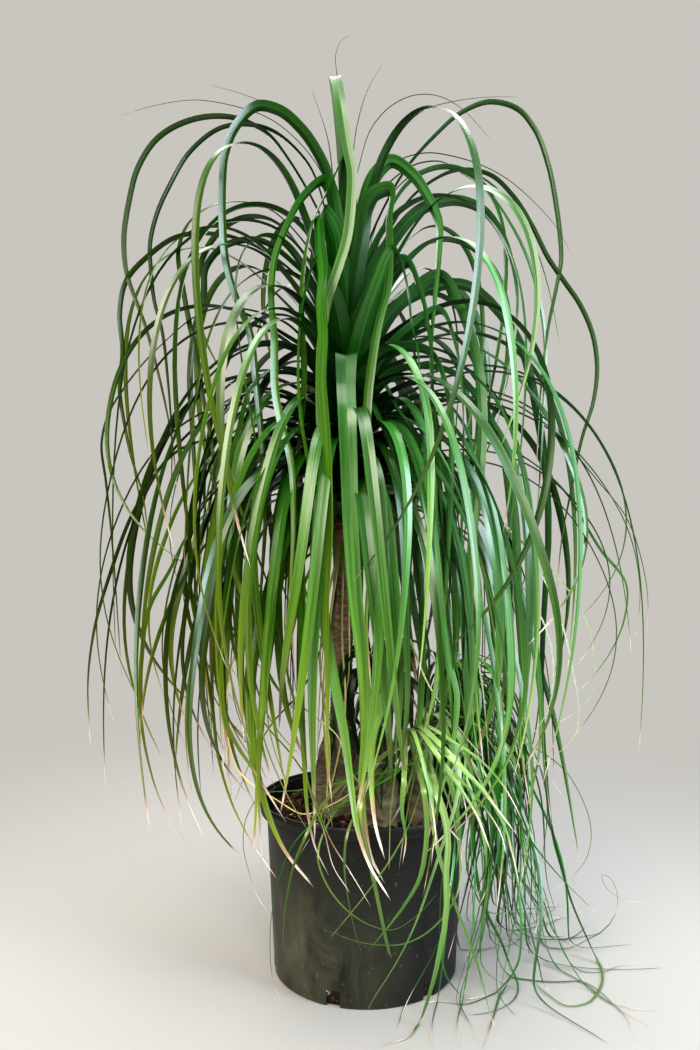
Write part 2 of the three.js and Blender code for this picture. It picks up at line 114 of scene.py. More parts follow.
def add_node(tree, kind, inputs=None, stops=None, **settings):
    """Adds a node, with its settings, its colour stops, and its inputs as values or as links."""
    made = tree.nodes.new("ShaderNode" + kind)
    for setting, value in settings.items():
        setattr(made, setting, value)
    for place, value in (inputs or {}).items():
        if isinstance(value, bpy.types.NodeSocket):
            tree.links.new(value, made.inputs[place])
        else:
            made.inputs[place].default_value = value
    if stops:
        elements = made.color_ramp.elements
        while len(elements) < len(stops):
            elements.new(0.5)
        for element, (position, colour) in zip(elements, stops):
            element.position = position
            element.color = linear(colour)
    return made


def new_material(name):
    """An empty material, its node tree and its Principled shader."""
    material = bpy.data.materials.new(name)
    material.use_nodes = True
    tree = material.node_tree
    return material, tree, tree.nodes["Principled BSDF"]


# ---- materials ----

# What a leaf's points say of themselves: how far across the blade they lie, from -1 to 1, and their
# share of its length; how many millimetres are left to its tip; the leaf's own tone; how far towards
# the right they are, for the painted warm light on the left and painted cool light on the right; and over how
# many millimetres its tip is dry.
LEAF_MARKS = ("across", "share", "to_tip", "tone", "cool", "dry")

VEIN_ACROSS = 1.9
VEIN_ALONG = 0.003
LEAF_APART = 90.0  # takes each leaf to a place of its own in the veins' pattern


def leaf_material(name, colours, painted_sheen=0.0):
    """Living strap leaf, grown with a waxy skin on both faces, so that it has a soft sheen. Its
    colour runs from the dark root to the yellowing end and the dry straw tip, and differs from leaf
    to leaf; fine veins run all along it. Painted light tints it warm on the left and cool on the
    right, where a painted grey-green sheen lies over it too."""
    material, tree, shader = new_material(name)
    across, share, to_tip, tone, cool, dry = (
        add_node(tree, "Attribute", attribute_name=mark).outputs["Fac"] for mark in LEAF_MARKS)

    length_colour = add_node(tree, "ValToRGB", {"Fac": share}, stops=colours).outputs["Color"]
    tone_colour = add_node(
        tree, "ValToRGB", {"Fac": tone},
        stops=[(0.0, "#3a4620"), (0.4, "#98a670"), (0.8, "#f0f4e0")]).outputs["Color"]
    # Painted light: a warm tint on the left, where the key light falls, and a cool tint on the right, where
    # the window light falls.
    painted_light_tint = add_node(
        tree, "ValToRGB", {"Fac": cool},
        stops=[(0.0, "#f8d460"), (0.4, "#fff4c4"), (0.6, "#f4fff4"), (1.0, "#e0f4ff")]).outputs["Color"]
    # A painted grey-green sheen of the cool light on the right-hand leaves, thinner towards the leaves' ends.
    rightward = add_node(tree, "MapRange", {"Value": cool, "From Min": 0.42, "From Max": 0.8,
                                            "To Max": painted_sheen}).outputs[0]
    rootward = add_node(tree, "MapRange", {"Value": share, "From Min": 0.95, "From Max": 0.5}).outputs[0]
    painted_sheen_mask = add_node(tree, "Math", {0: rightward, 1: rootward}, operation="MULTIPLY").outputs[0]
    sheen_painted = add_node(tree, "Mix", {"Factor": painted_sheen_mask, 6: length_colour, 7: linear("#7aa48c")},
                       data_type="RGBA").outputs[2]
    toned = add_node(tree, "Mix", {"Factor": 1.0, 6: sheen_painted, 7: tone_colour},
                     data_type="RGBA", blend_type="MULTIPLY").outputs[2]
    light_tinted = add_node(tree, "Mix", {"Factor": 1.0, 6: toned, 7: painted_light_tint},
                     data_type="RGBA", blend_type="MULTIPLY").outputs[2]

    # The veins lie 0.6 mm apart; drawn 2 to 3 mm apart and about 200 mm long, so that they show from
    # a step away.
    along = add_node(tree, "Math", {0: to_tip, 1: VEIN_ALONG}, operation="MULTIPLY").outputs[0]
    over = add_node(tree, "Math", {0: across, 1: VEIN_ACROSS}, operation="MULTIPLY").outputs[0]
    apart = add_node(tree, "Math", {0: tone, 1: LEAF_APART}, operation="MULTIPLY").outputs[0]
    place = add_node(tree, "CombineXYZ", {"X": over, "Y": along, "Z": apart}).outputs[0]
    veins = add_node(tree, "TexNoise", {"Vector": place, "Scale": 1.6, "Detail": 1.0,
                                        "Roughness": 0.5}).outputs["Fac"]
    vein_colour = add_node(
        tree, "ValToRGB", {"Fac": veins},
        stops=[(0.3, "#a8b090"), (0.5, "#dce2cc"), (0.68, "#ffffff")]).outputs["Color"]
    veined = add_node(tree, "Mix", {"Factor": 1.0, 6: light_tinted, 7: vein_colour},
                      data_type="RGBA", blend_type="MULTIPLY").outputs[2]

    dry_start = add_node(tree, "Math", {0: dry, 1: 0.7}, operation="MULTIPLY").outputs[0]
    dryness = add_node(tree, "MapRange", {"Value": to_tip, "From Min": dry, "From Max": dry_start},
                       interpolation_type="SMOOTHSTEP").outputs[0]
    paleness = add_node(tree, "MapRange", {"Value": to_tip, "From Min": dry_start,
                                           "From Max": 0.0}).outputs[0]
    dry_colour = add_node(tree, "ValToRGB", {"Fac": paleness},
                          stops=[(0.0, "#a08468"), (0.35, "#d0beb0")]).outputs["Color"]
    final = add_node(tree, "Mix", {"Factor": dryness, 6: veined, 7: dry_colour},
                     data_type="RGBA").outputs[2]
    gloss = add_node(tree, "MapRange", {"Value": veins, "To Min": 0.26, "To Max": 0.44}).outputs[0]
    tree.links.new(final, shader.inputs["Base Color"])
    tree.links.new(gloss, shader.inputs["Roughness"])
    shader.inputs["IOR"].default_value = 1.45
    shader.inputs["Specular IOR Level"].default_value = 0.9
    shader.inputs["Coat Weight"].default_value = 0.45
    shader.inputs["Coat Roughness"].default_value = 0.34
    shader.inputs["Specular Tint"].default_value = linear("#f8f8f4")
    return material


def bark_material(name, ring, colours, foot_colours):
    """Cork that grew, dried and weathered, so it is quite dull. Leaf scars ring it so many
    millimetres apart, patches lighten and darken it, and the swollen foot is greyer."""
    material, tree, shader = new_material(name)
    place = add_node(tree, "TexCoord").outputs["Object"]
    patches = add_node(tree, "TexNoise", {"Vector": place, "Scale": per_metre(35.714), "Detail": 6.0,
                                          "Roughness": 0.65}).outputs["Fac"]
    flat = add_node(tree, "Mapping", {"Vector": place, "Scale": (0.35, 0.35, 1.0)}).outputs[0]
    rings = add_node(tree, "TexNoise", {"Vector": flat, "Scale": per_metre(ring), "Detail": 4.0,
                                        "Roughness": 0.55, "Distortion": 0.25}).outputs["Fac"]
    both = add_node(tree, "Mix", {"Factor": 0.55, 2: patches, 3: rings}).outputs[0]
    upper = add_node(tree, "ValToRGB", {"Fac": both}, stops=colours).outputs["Color"]
    lower = add_node(tree, "ValToRGB", {"Fac": both}, stops=foot_colours).outputs["Color"]
    height = add_node(tree, "SeparateXYZ", {"Vector": place}).outputs["Z"]
    low = add_node(tree, "MapRange", {"Value": height, "From Min": 330 * MM,
                                      "From Max": 280 * MM}).outputs[0]
    colour = add_node(tree, "Mix", {"Factor": low, 6: upper, 7: lower}, data_type="RGBA").outputs[2]
    bump = add_node(tree, "Bump", {"Height": both, "Strength": 0.7, "Distance": 1.6 * MM}).outputs[0]
    tree.links.new(colour, shader.inputs["Base Color"])
    tree.links.new(bump, shader.inputs["Normal"])
    shader.inputs["Roughness"].default_value = 0.78
    return material


def pot_material():
    """Polypropylene moulded in carbon black: a dull sheen, handling scuffs and a paler olive film in
    clouds, strongest on its left side and towards the foot."""
    material, tree, shader = new_material("moulded_polypropylene")
    place = add_node(tree, "TexCoord").outputs["Object"]
    apart = add_node(tree, "SeparateXYZ", {"Vector": place})
    stretched = add_node(tree, "Mapping", {"Vector": place, "Scale": (1.0, 1.0, 0.6)}).outputs[0]
    clouds = add_node(tree, "TexNoise", {"Vector": stretched, "Scale": per_metre(52.632), "Detail": 9.0,
                                         "Roughness": 0.7, "Distortion": 0.6}).outputs["Fac"]
    # Specks of grit are 1 mm wide; drawn 4 mm apart and up to 2 mm wide, so that some show.
    specks = add_node(tree, "TexNoise", {"Vector": place, "Scale": per_metre(4.1667),
                                         "Detail": 3.0}).outputs["Fac"]
    # A paler olive film in clouds, strongest on the left side and towards the foot.
    leftward = add_node(tree, "MapRange", {"Value": apart.outputs["X"], "From Min": 70 * MM,
                                           "From Max": -140 * MM}).outputs[0]
    downward = add_node(tree, "MapRange", {"Value": apart.outputs["Z"], "From Min": 200 * MM,
                                           "From Max": 20 * MM, "To Min": 0.04}).outputs[0]
    where = add_node(tree, "Math", {0: leftward, 1: downward}, operation="MULTIPLY").outputs[0]
    film = add_node(tree, "MapRange", {"Value": clouds, "From Min": 0.34, "From Max": 0.72}).outputs[0]
    left_and_low_film = add_node(tree, "Math", {0: where, 1: film}, operation="MULTIPLY").outputs[0]
    grains = add_node(tree, "MapRange", {"Value": specks, "From Min": 0.66, "From Max": 0.74,
                                         "To Max": 0.35}).outputs[0]
    film_and_grit = add_node(tree, "Math", {0: left_and_low_film, 1: grains}, operation="ADD", use_clamp=True).outputs[0]
    colour = add_node(
        tree, "ValToRGB", {"Fac": film_and_grit},
        stops=[(0.0, "#151614"), (0.12, "#2b2c22"), (0.4, "#484838"), (0.8, "#726f56")]).outputs["Color"]
    roughness = add_node(tree, "MapRange", {"Value": clouds, "To Min": 0.38, "To Max": 0.66}).outputs[0]
    bump = add_node(tree, "Bump", {"Height": specks, "Strength": 0.12, "Distance": 0.5 * MM}).outputs[0]
    tree.links.new(colour, shader.inputs["Base Color"])
    tree.links.new(roughness, shader.inputs["Roughness"])
    tree.links.new(bump, shader.inputs["Normal"])
    shader.inputs["IOR"].default_value = 1.49
    shader.inputs["Specular IOR Level"].default_value = 0.35
    return material


def chip_material(name, colours, grain_size):
    """Composted pine bark, milled: rough torn flakes, each of its own brown, with dark damp grain
    of a size in millimetres."""
    material, tree, shader = new_material(name)
    tone = add_node(tree, "Attribute", attribute_name="tone").outputs["Fac"]
    place = add_node(tree, "TexCoord").outputs["Object"]
    grain = add_node(tree, "TexNoise", {"Vector": place, "Scale": per_metre(grain_size), "Detail": 6.0,
                                        "Roughness": 0.7}).outputs["Fac"]
    own = add_node(tree, "ValToRGB", {"Fac": tone}, stops=colours).outputs["Color"]
    shade = add_node(tree, "ValToRGB", {"Fac": grain},
                     stops=[(0.32, "#6a6058"), (0.6, "#f2ece4")]).outputs["Color"]
    colour = add_node(tree, "Mix", {"Factor": 1.0, 6: own, 7: shade},
                      data_type="RGBA", blend_type="MULTIPLY").outputs[2]
    bump = add_node(tree, "Bump", {"Height": grain, "Strength": 0.8, "Distance": 1.0 * MM}).outputs[0]
    tree.links.new(colour, shader.inputs["Base Color"])
    tree.links.new(bump, shader.inputs["Normal"])
    shader.inputs["Roughness"].default_value = 0.85
    return material


# The colours of each kind of leaf from root to tip, by the share of its length.
LEAF_GREEN = leaf_material("waxy_strap_leaf", [
    (0.0, "#0a4402"), (0.12, "#125808"), (0.28, "#307822"), (0.6, "#5a8c38"),
    (0.85, "#84a44c"), (1.0, "#b8c47c")], painted_sheen=0.4)
# Dark greens: partly the young plant's own colour and partly painted shade, as it stands in the crown's
# shadow.
YOUNG_DARK = leaf_material("waxy_shade_leaf", [
    (0.0, "#1c4c10"), (0.3, "#0c4a10"), (0.8, "#165e10"), (1.0, "#4a7424")])
YOUNG_PALE = leaf_material("waxy_young_leaf", [
    (0.0, "#e8ecc8"), (0.25, "#ccd6ac"), (0.5, "#a0bc76"), (0.8, "#5a8c3c"), (1.0, "#84a056")])
YOUNG_FINE = leaf_material("waxy_grassy_leaf", [
    (0.0, "#c4d868"), (0.15, "#7cb83a"), (0.4, "#3f9c22"), (0.75, "#287424"), (1.0, "#4a6a30")])

# Old leaf ends that dried brown or bleached to straw.
WITHERED = leaf_material("withered_leaf_thread", [(0.0, "#28300e"), (0.5, "#33301a"), (1.0, "#5a4834")])
BLEACHED = leaf_material("bleached_leaf_thread", [(0.0, "#8ca050"), (0.4, "#c4bc94"), (1.0, "#e8dccc")])

# The greys and browns of cork on the swollen feet, from its cracks up.
FOOT_TONES = [(0.34, "#2a2418"), (0.46, "#5c5240"), (0.6, "#807458"), (0.75, "#a69a7a")]
TRUNK_BARK = bark_material("ringed_cork_bark", 5.0, [
    (0.32, "#38291e"), (0.45, "#7a604a"), (0.57, "#a68a6c"), (0.72, "#ccb090")], FOOT_TONES)
FOOT_BARK = bark_material("cracked_cork_bark", 9.0, FOOT_TONES, FOOT_TONES)
POT_PLASTIC = pot_material()
BARK_CHIPS = chip_material("composted_pine_bark", [
    (0.0, "#120c08"), (0.4, "#2c1a10"), (0.72, "#54321e"), (0.88, "#84603f"), (0.95, "#efe6da")], 11.111)
DAMP_MIX = chip_material("damp_bark_fines", [(0.0, "#0e0906"), (1.0, "#281a10")], 6.25)


# ---- pot ----

POT_LOW, POT_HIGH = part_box("pot")
POT_HEIGHT = POT_HIGH.z / MM
RIM_RADIUS = POT_HIGH.x / MM
BASE_RADIUS = 120
SHOULDER_RADIUS = 130
WALL = 2.5
RIM_DEPTH = 17
NOTCHES = 6
FIRST_NOTCH = -110
NOTCH_WIDTH = 18
NOTCH_HEIGHT = 21
NOTCH_CUT = 16  # the cutter's depth, half of it outside the wall
POT_SIDES = 144


def turned(profile, sides, name, material, nodes, sharp_at=None, move=None):
    """Turns a closed profile of (radius, height) points, from axis to axis, about the Z axis."""
    vertices = [(0, 0, profile[0][1])]
    rings = profile[1:-1]
    for r, z in rings:
        for k in range(sides):
            angle = 2 * math.pi * k / sides
            vertices.append((r * math.cos(angle), r * math.sin(angle), z))
    vertices.append((0, 0, profile[-1][1]))
    last = len(vertices) - 1
    faces = []
    for k in range(sides):
        j = (k + 1) % sides
        faces.append((0, 1 + j, 1 + k))
        for r in range(len(rings) - 1):
            a = 1 + r * sides
            faces.append((a + k, a + j, a + sides + j, a + sides + k))
        top = 1 + (len(rings) - 1) * sides
        faces.append((top + k, top + j, last))
    if move:
        vertices = [move(Vector(v)) for v in vertices]
    return make_object(name, vertices, faces, material, nodes, sharp_at)


def cut_notches(pot):
    """Cuts the drainage notches out of the foot of the wall."""
    cutter_mesh = bpy.data.meshes.new("notch_cutter")
    cutter = bmesh.new()
    for i in range(NOTCHES):
        angle = math.radians(FIRST_NOTCH + 360 / NOTCHES * i)
        made = bmesh.ops.create_cube(cutter, size=1.0)["verts"]
        size = Matrix.Diagonal((NOTCH_CUT * MM, NOTCH_WIDTH * MM, 2 * NOTCH_HEIGHT * MM, 1))
        bmesh.ops.transform(cutter, verts=made, matrix=Matrix.Rotation(angle, 4, "Z")
                            @ Matrix.Translation((BASE_RADIUS * MM, 0, 0)) @ size)
    cutter.to_mesh(cutter_mesh)
    cutter.free()
    tool = bpy.data.objects.new("notch_cutter", cutter_mesh)
    bpy.context.scene.collection.objects.link(tool)
    cut = pot.modifiers.new("notches", "BOOLEAN")
    cut.object = tool
    cut.solver = "EXACT"
    apply_modifiers(pot)
    bpy.data.objects.remove(tool)


def apply_modifiers(piece):
    evaluated = piece.evaluated_get(bpy.context.evaluated_depsgraph_get())
    mesh = bpy.data.meshes.new_from_object(evaluated)
    piece.modifiers.clear()
    piece.data = mesh


def make_pot():
    """The pot: a flat foot with a rounded edge, a wall that widens upwards, and a stepped rim."""
    under_rim = POT_HEIGHT - RIM_DEPTH
    profile = [
        (0, 3), (BASE_RADIUS - 14, 3), (BASE_RADIUS - 12, 0.4), (BASE_RADIUS - 6, 0),
        (BASE_RADIUS - 2, 0.6), (BASE_RADIUS, 3),
        (lerp(BASE_RADIUS, SHOULDER_RADIUS, 0.5), under_rim * 0.5),
        (SHOULDER_RADIUS, under_rim - 3), (SHOULDER_RADIUS + 1.5, under_rim - 0.5),
        (RIM_RADIUS - 3.2, under_rim), (RIM_RADIUS - 1.6, under_rim + 1.2),
        (RIM_RADIUS - 1.2, POT_HEIGHT - 8.5), (RIM_RADIUS - 0.3, POT_HEIGHT - 7.5),
        (RIM_RADIUS, POT_HEIGHT - 6), (RIM_RADIUS, POT_HEIGHT - 1.5),
        (RIM_RADIUS - 1.2, POT_HEIGHT), (RIM_RADIUS - 3.4, POT_HEIGHT),
        (RIM_RADIUS - 4.6, POT_HEIGHT - 1.4), (RIM_RADIUS - 5.4, POT_HEIGHT - 4),
        (RIM_RADIUS - 7.8, POT_HEIGHT - 5), (RIM_RADIUS - 8.4, POT_HEIGHT - 7),
        (SHOULDER_RADIUS - WALL, under_rim - 4),
        (lerp(BASE_RADIUS, SHOULDER_RADIUS, 0.5) - WALL, under_rim * 0.5),
        (BASE_RADIUS - WALL, 6), (BASE_RADIUS - WALL - 3, 4.2), (0, 4.2),
    ]
    pot = turned(profile, POT_SIDES, "nursery_pot", POT_PLASTIC, ["pot"])
    cut_notches(pot)
    pot.data.shade_smooth()
    pot.data.set_sharp_from_angle(angle=math.radians(40))


# ---- soil ----

CHIPS = 1500
NOTCH_CHIPS = 14
CHIP_ROOM = 121  # how far from the axis a chip may lie
CRUMB_DRAW = 0.94  # a chip that draws more than this is a white crumb
LUMP = 34  # from one lump of the soil's surface to the next
LUMP_HEIGHT = 4.5
SOIL_RINGS = 24


def soil_height(x, y):
    lumps = noise.fractal(Vector((x / LUMP, y / LUMP, 3.1)), 0.9, 2.0, 4)
    return SOIL_LEVEL - 3 + LUMP_HEIGHT * lumps


def set_attribute(mesh, name, values):
    layer = mesh.attributes.new(name, "FLOAT", "POINT")
    layer.data.foreach_set("value", np.asarray(values, np.float32))


def mark_evenly(piece, **marks):
    """Gives all points of a piece the same marks for its material to read."""
    for name, value in marks.items():
        set_attribute(piece.data, name, [value] * len(piece.data.vertices))


def make_soil():
    """The bark mix as one body, lumpy on top, which fills the pot."""
    inner = SHOULDER_RADIUS - WALL - 1.2
    foot = BASE_RADIUS - WALL - 0.6
    rings = [(inner * math.sqrt(1 - i / SOIL_RINGS), SOIL_LEVEL) for i in range(SOIL_RINGS)]
    side = [(0, 5), (foot, 5), (foot + 0.6, 20), (inner - 0.6, SOIL_LEVEL - 14)]

    def heave(p):
        if p.z < SOIL_LEVEL - 1:
            return p
        return Vector((p.x, p.y, soil_height(p.x, p.y)))

    piece = turned([*side, *rings, (0, SOIL_LEVEL)], 96, "bark_mix", DAMP_MIX, ["soil"],
                   move=heave)
    mark_evenly(piece, tone=0.4)


def chip_places():
    """Where flakes of bark lie: strewn over the soil, and pressed into each drainage notch."""
    for i in range(CHIPS):
        radius = CHIP_ROOM * math.sqrt(draw(1, i))
        angle = 2 * math.pi * draw(2, i)
        x, y = radius * math.cos(angle), radius * math.sin(angle)
        yield Vector((x, y, soil_height(x, y) + lerp(0.5, 3.0, draw(14, i)))), Matrix.Identity(3)
    for i in range(NOTCHES * NOTCH_CHIPS):
        turn = Matrix.Rotation(math.radians(FIRST_NOTCH + 360 / NOTCHES * i), 3, "Z")
        at = Vector((BASE_RADIUS - 3.6, lerp(-0.5, 0.5, draw(16, i)) * NOTCH_WIDTH,
                     lerp(8, NOTCH_HEIGHT, draw(17, i))))
        yield turn @ at, turn @ Matrix.Rotation(math.radians(90), 3, "Y") * 0.6


def make_chips():
    """Torn flakes of bark, with a few white crumbs among them, and paler ones in the notches."""
    vertices = []
    faces = []
    tones = []
    block = [Vector((x, y, z)) for z in (-1, 1) for y in (-1, 1) for x in (-1, 1)]
    sides = [(0, 2, 3, 1), (4, 5, 7, 6), (0, 1, 5, 4), (2, 6, 7, 3), (0, 4, 6, 2), (1, 3, 7, 5)]
    for i, (at, stand) in enumerate(chip_places()):
        crumb = draw(3, i) > CRUMB_DRAW
        long = lerp(2.0, 4.2, draw(4, i)) if crumb else lerp(2.5, 8.0, draw(4, i) ** 2.2)
        size = Vector((long, long * lerp(0.35, 0.7, draw(5, i)), long * lerp(0.16, 0.36, draw(6, i))))
        turn = (stand @ Matrix.Rotation(2 * math.pi * draw(7, i), 3, "Z")
                @ Matrix.Rotation(lerp(-0.7, 0.7, draw(8, i)), 3, "X")
                @ Matrix.Rotation(lerp(-0.6, 0.6, draw(9, i)), 3, "Y"))
        base = len(vertices)
        for c, corner in enumerate(block):
            torn = Vector([corner[a] * size[a] * lerp(0.55, 1.1, draw(10 + a, 8 * i + c))
                           for a in range(3)])
            vertices.append(turn @ torn + at)
        faces += [tuple(base + v for v in side) for side in sides]
        tone = 0.9 * draw(15, i) if i < CHIPS else draw(15, i) ** 0.4
        tones += [1.0 if crumb else tone] * len(block)
    piece = make_object("bark_chips", vertices, faces, BARK_CHIPS, ["soil"], sharp_at=30)
    set_attribute(piece.data, "tone", tones)


# ---- trunk and swollen feet ----

@dataclass
class Foot:
    """A plant's swollen foot: where it stands, how wide it swells, and where its neck is."""
    name: str
    at: tuple
    neck: tuple
    swell: float
    neck_radius: float
    ridges: float


TRUNK = Foot("trunk", (-35, -3), (-26, 0, 590), 34, 14, 1.0)
TRUNK_BULB = 104  # height of the trunk's swollen foot above the soil
SCAR_GAP = (3.6, 6.8)  # the least and the most from one ring of leaf scars to the next
FOOT_STEPS = 26
FEET = [
    Foot("second_caudex", (16, -46), (8, -42, 326), 30, 7.5, 2.8),
    Foot("third_caudex", (70, -46), (66, -46, 304), 16, 7, 1.6),
    Foot("fourth_caudex", (90, 26), (108, 18, 322), 18, 7, 1.6),
]


def lean(foot, p, top):
    """Leans a turned body smoothly from its place in the soil to its neck."""
    eased = float(smooth((p.z - SOIL_LEVEL) / (top - SOIL_LEVEL)))
    x = lerp(foot.at[0], foot.neck[0], eased)
    y = lerp(foot.at[1], foot.neck[1], eased)
    return Vector((p.x + x, p.y + y, p.z))


def make_trunk():
    """The bare trunk: leaf scars ring it, each with a small ledge, and it swells to its foot."""
    top = TRUNK.neck[2] + 14
    profile = [(0, SOIL_LEVEL - 30)]
    z = SOIL_LEVEL - 30
    i = 0
    while z < top:
        t = clamp01((z - SOIL_LEVEL) / TRUNK_BULB)
        bulb = math.sqrt(1 - t * t)
        radius = lerp(TRUNK.neck_radius, TRUNK.swell, bulb) + 0.6 * draw(31, i)
        profile.append((radius, z))
        profile.append((radius - 0.25, z + 1.2))
        profile.append((radius - 1.1, z + 2.0))
        z += lerp(*SCAR_GAP, draw(32, i))
        i += 1
    profile.append((TRUNK.neck_radius - 1, top))
    profile.append((0, top))

    def move(p):
        rough = noise.fractal(Vector((p.x / 9, p.y / 9, p.z / 26)), 0.8, 2.0, 3)
        wide = 1 + 0.045 * rough
        tilt = 1.2 * noise.noise(Vector((p.x / 14, p.y / 14, p.z / 60)))
        return lean(TRUNK, Vector((p.x * wide, p.y * wide, p.z + tilt)), top)

    turned(profile, 48, "ringed_trunk", TRUNK_BARK, ["trunk"], move=move)


def make_foot(foot):
    """A young plant's bulb, with shrunken ridges where leaves have dropped off."""
    profile = [(0, SOIL_LEVEL - 20), (foot.swell, SOIL_LEVEL - 20)]
    for i in range(FOOT_STEPS + 1):
        t = i / FOOT_STEPS
        bulb = math.sqrt(max(0.0, 1 - t * t))
        profile.append((lerp(foot.neck_radius, foot.swell, bulb), lerp(SOIL_LEVEL, foot.neck[2], t)))
    profile.append((0, foot.neck[2] + 1))

    def move(p):
        ridge = abs(noise.noise(Vector((p.x / 17, p.y / 17, p.z / 7 + 40))))
        rough = noise.fractal(Vector((p.x / 8, p.y / 8, p.z / 8)), 0.8, 2.0, 3)
        away = Vector((p.x, p.y, 0))
        if away.length > 0.1:
            away.normalize()
        return lean(foot, p + away * (foot.ridges * (0.7 - 2.6 * ridge) + 0.5 * rough), foot.neck[2])

    turned(profile, 48, foot.name + "_bulb", FOOT_BARK, [foot.name], move=move)


# ---- leaf lines ----

@dataclass
class Leaf:
    """A leaf by what shows of it. Azimuth runs from +X towards +Y in degrees. It leaves its stem at
    height root, swings out by reach and up by rise, turns over as sharply as snap says, and hangs
    at the slope hang down to the height tip, or to its length. Sideways it leans and sways; it
    twists about its own line, its end tucks in, and it curls where it lies on the floor."""
    azimuth: float
    root: float
    reach: float
    rise: float
    snap: float
    tip: float = -1.0
    length: float = 2000.0
    width: float = 12.0
    hang: float = -90.0
    lean: float = 0.0
    sway: float = 0.0
    twist: float = 0.0
    curl: float = 0.0
    tuck: float = 0.0
    dry: float = 40.0
    tone: float = 0.6


SWING_STEP = 0.02  # in bend lengths
SWING_AT = (np.arange(160) + 0.5) * SWING_STEP
STEEPEST = 87  # the steepest slope at which a leaf leaves its stem
SHARPEST_SNAP = 14
LINE_STEP = 4  # between the points of a leaf's line
LANDING = 30  # how high over the floor a leaf begins to level out


def slope_at(bends, slope, snap, hang):
    """The slope of a leaf, in degrees, at a distance along it counted in bend lengths."""
    return hang + (slope - hang) / (1 + bends ** snap)


def swing(slope, snap, hang):
    """How far out and how high a leaf with a bend length of 1 swings."""
    angle = np.radians(slope_at(SWING_AT, slope, snap, hang))
    out = np.cumsum(np.cos(angle)).max() * SWING_STEP
    up = np.cumsum(np.sin(angle)).max() * SWING_STEP
    return out, max(up, 1e-6)


def arch_for(reach, rise, snap, hang):
    """The slope at the root, the snap and the bend length that give a leaf its reach and rise."""
    wanted = reach / rise

    def ratio(slope):
        out, up = swing(slope, snap, hang)
        return out / up

    while ratio(STEEPEST) > wanted and snap < SHARPEST_SNAP:
        snap += 0.5
    low, high = 2.0, STEEPEST
    for _ in range(20):
        slope = (low + high) / 2
        if ratio(slope) > wanted:
            low = slope
        else:
            high = slope
    return slope, snap, rise / swing(slope, snap, hang)[1]


def walk(leaf, root, arch, length, tuck):
    """Walks along a leaf in its own plane to a length, or down to its tip, and lies down on the
    floor. Its last two fifths tuck in by so many degrees more."""
    slope, snap, bend = arch
    azimuth = math.radians(leaf.azimuth)
    x, y, z = root
    s = turn = 0.0
    points = [(x, y, z)]
    while s < length:
        angle = slope_at((s + LINE_STEP / 2) / bend, slope, snap, leaf.hang)
        angle = math.radians(angle - tuck * float(smooth((s / length - 0.6) / 0.4)))
        soft = clamp01((z - FLOOR_LIE) / LANDING)
        if angle < 0:
            if z < leaf.tip:
                break
            if z < 2 * LANDING:
                angle = max(angle, math.radians(-90)) * soft
            if soft < 0.3:
                turn += leaf.curl * math.radians(LINE_STEP)
        x += math.cos(azimuth + turn) * math.cos(angle) * LINE_STEP
        y += math.sin(azimuth + turn) * math.cos(angle) * LINE_STEP
        z = max(FLOOR_LIE, z + math.sin(angle) * LINE_STEP)
        s += LINE_STEP
        points.append((x, y, z))
    return np.array(points)


def leaf_line(leaf, root):
    """Points along a leaf from its root. It arches over, hangs, leans and sways."""
    arch = arch_for(leaf.reach, leaf.rise, leaf.snap, leaf.hang)
    first = walk(leaf, root, arch, leaf.length, 0)
    line = walk(leaf, root, arch, (len(first) - 1) * LINE_STEP, leaf.tuck)
    azimuth = math.radians(leaf.azimuth)
    along = np.arange(len(line)) * LINE_STEP
    share = along / along[-1]
    hanging = smooth((along / arch[2] - 0.7) / 1.5) * np.clip((line[:, 2] - FLOOR_LIE) / (2 * LANDING), 0, 1)
    drift = leaf.lean * share ** 1.5 * hanging
    wave = leaf.sway * np.cos(share * 9 + leaf.tone * 40) * hanging
    sideways = np.cumsum(drift + wave) * LINE_STEP
    outwards = np.cumsum(leaf.sway * np.cos(share * 7 + leaf.tone * 70) * hanging) * LINE_STEP
    line[:, 0] += math.cos(azimuth) * outwards - math.sin(azimuth) * sideways
    line[:, 1] += math.sin(azimuth) * outwards + math.cos(azimuth) * sideways
    return line


@dataclass
class Drawn:
    """A leaf or a thread by the pixels of the front view that it runs through, from its root on. A
    third number is its depth there, and between those its depth changes evenly."""
    pixels: list
    width: float = 13.0
    azimuth: float = -90.0
    twist: float = 0.0
    dry: float = 60.0
    tone: float = 0.7


DOWN = 1000  # as a depth: the pixel lies on the floor


def floor_depth(py):
    """How far back the floor lies at a pixel row, or no limit above the horizon."""
    if py <= HORIZON:
        return DOWN
    return CAMERA_AT[1] + FOCAL * (CAMERA_AT[2] - FLOOR_LIE) / (py - HORIZON)


def seen(px, py, depth):
    """The point at a depth that the camera sees at a pixel."""
    scale = (depth - CAMERA_AT[1]) / FOCAL
    return CAMERA_AT[0] + (px - PICTURE[0] / 2) * scale, depth, CAMERA_AT[2] - (py - HORIZON) * scale


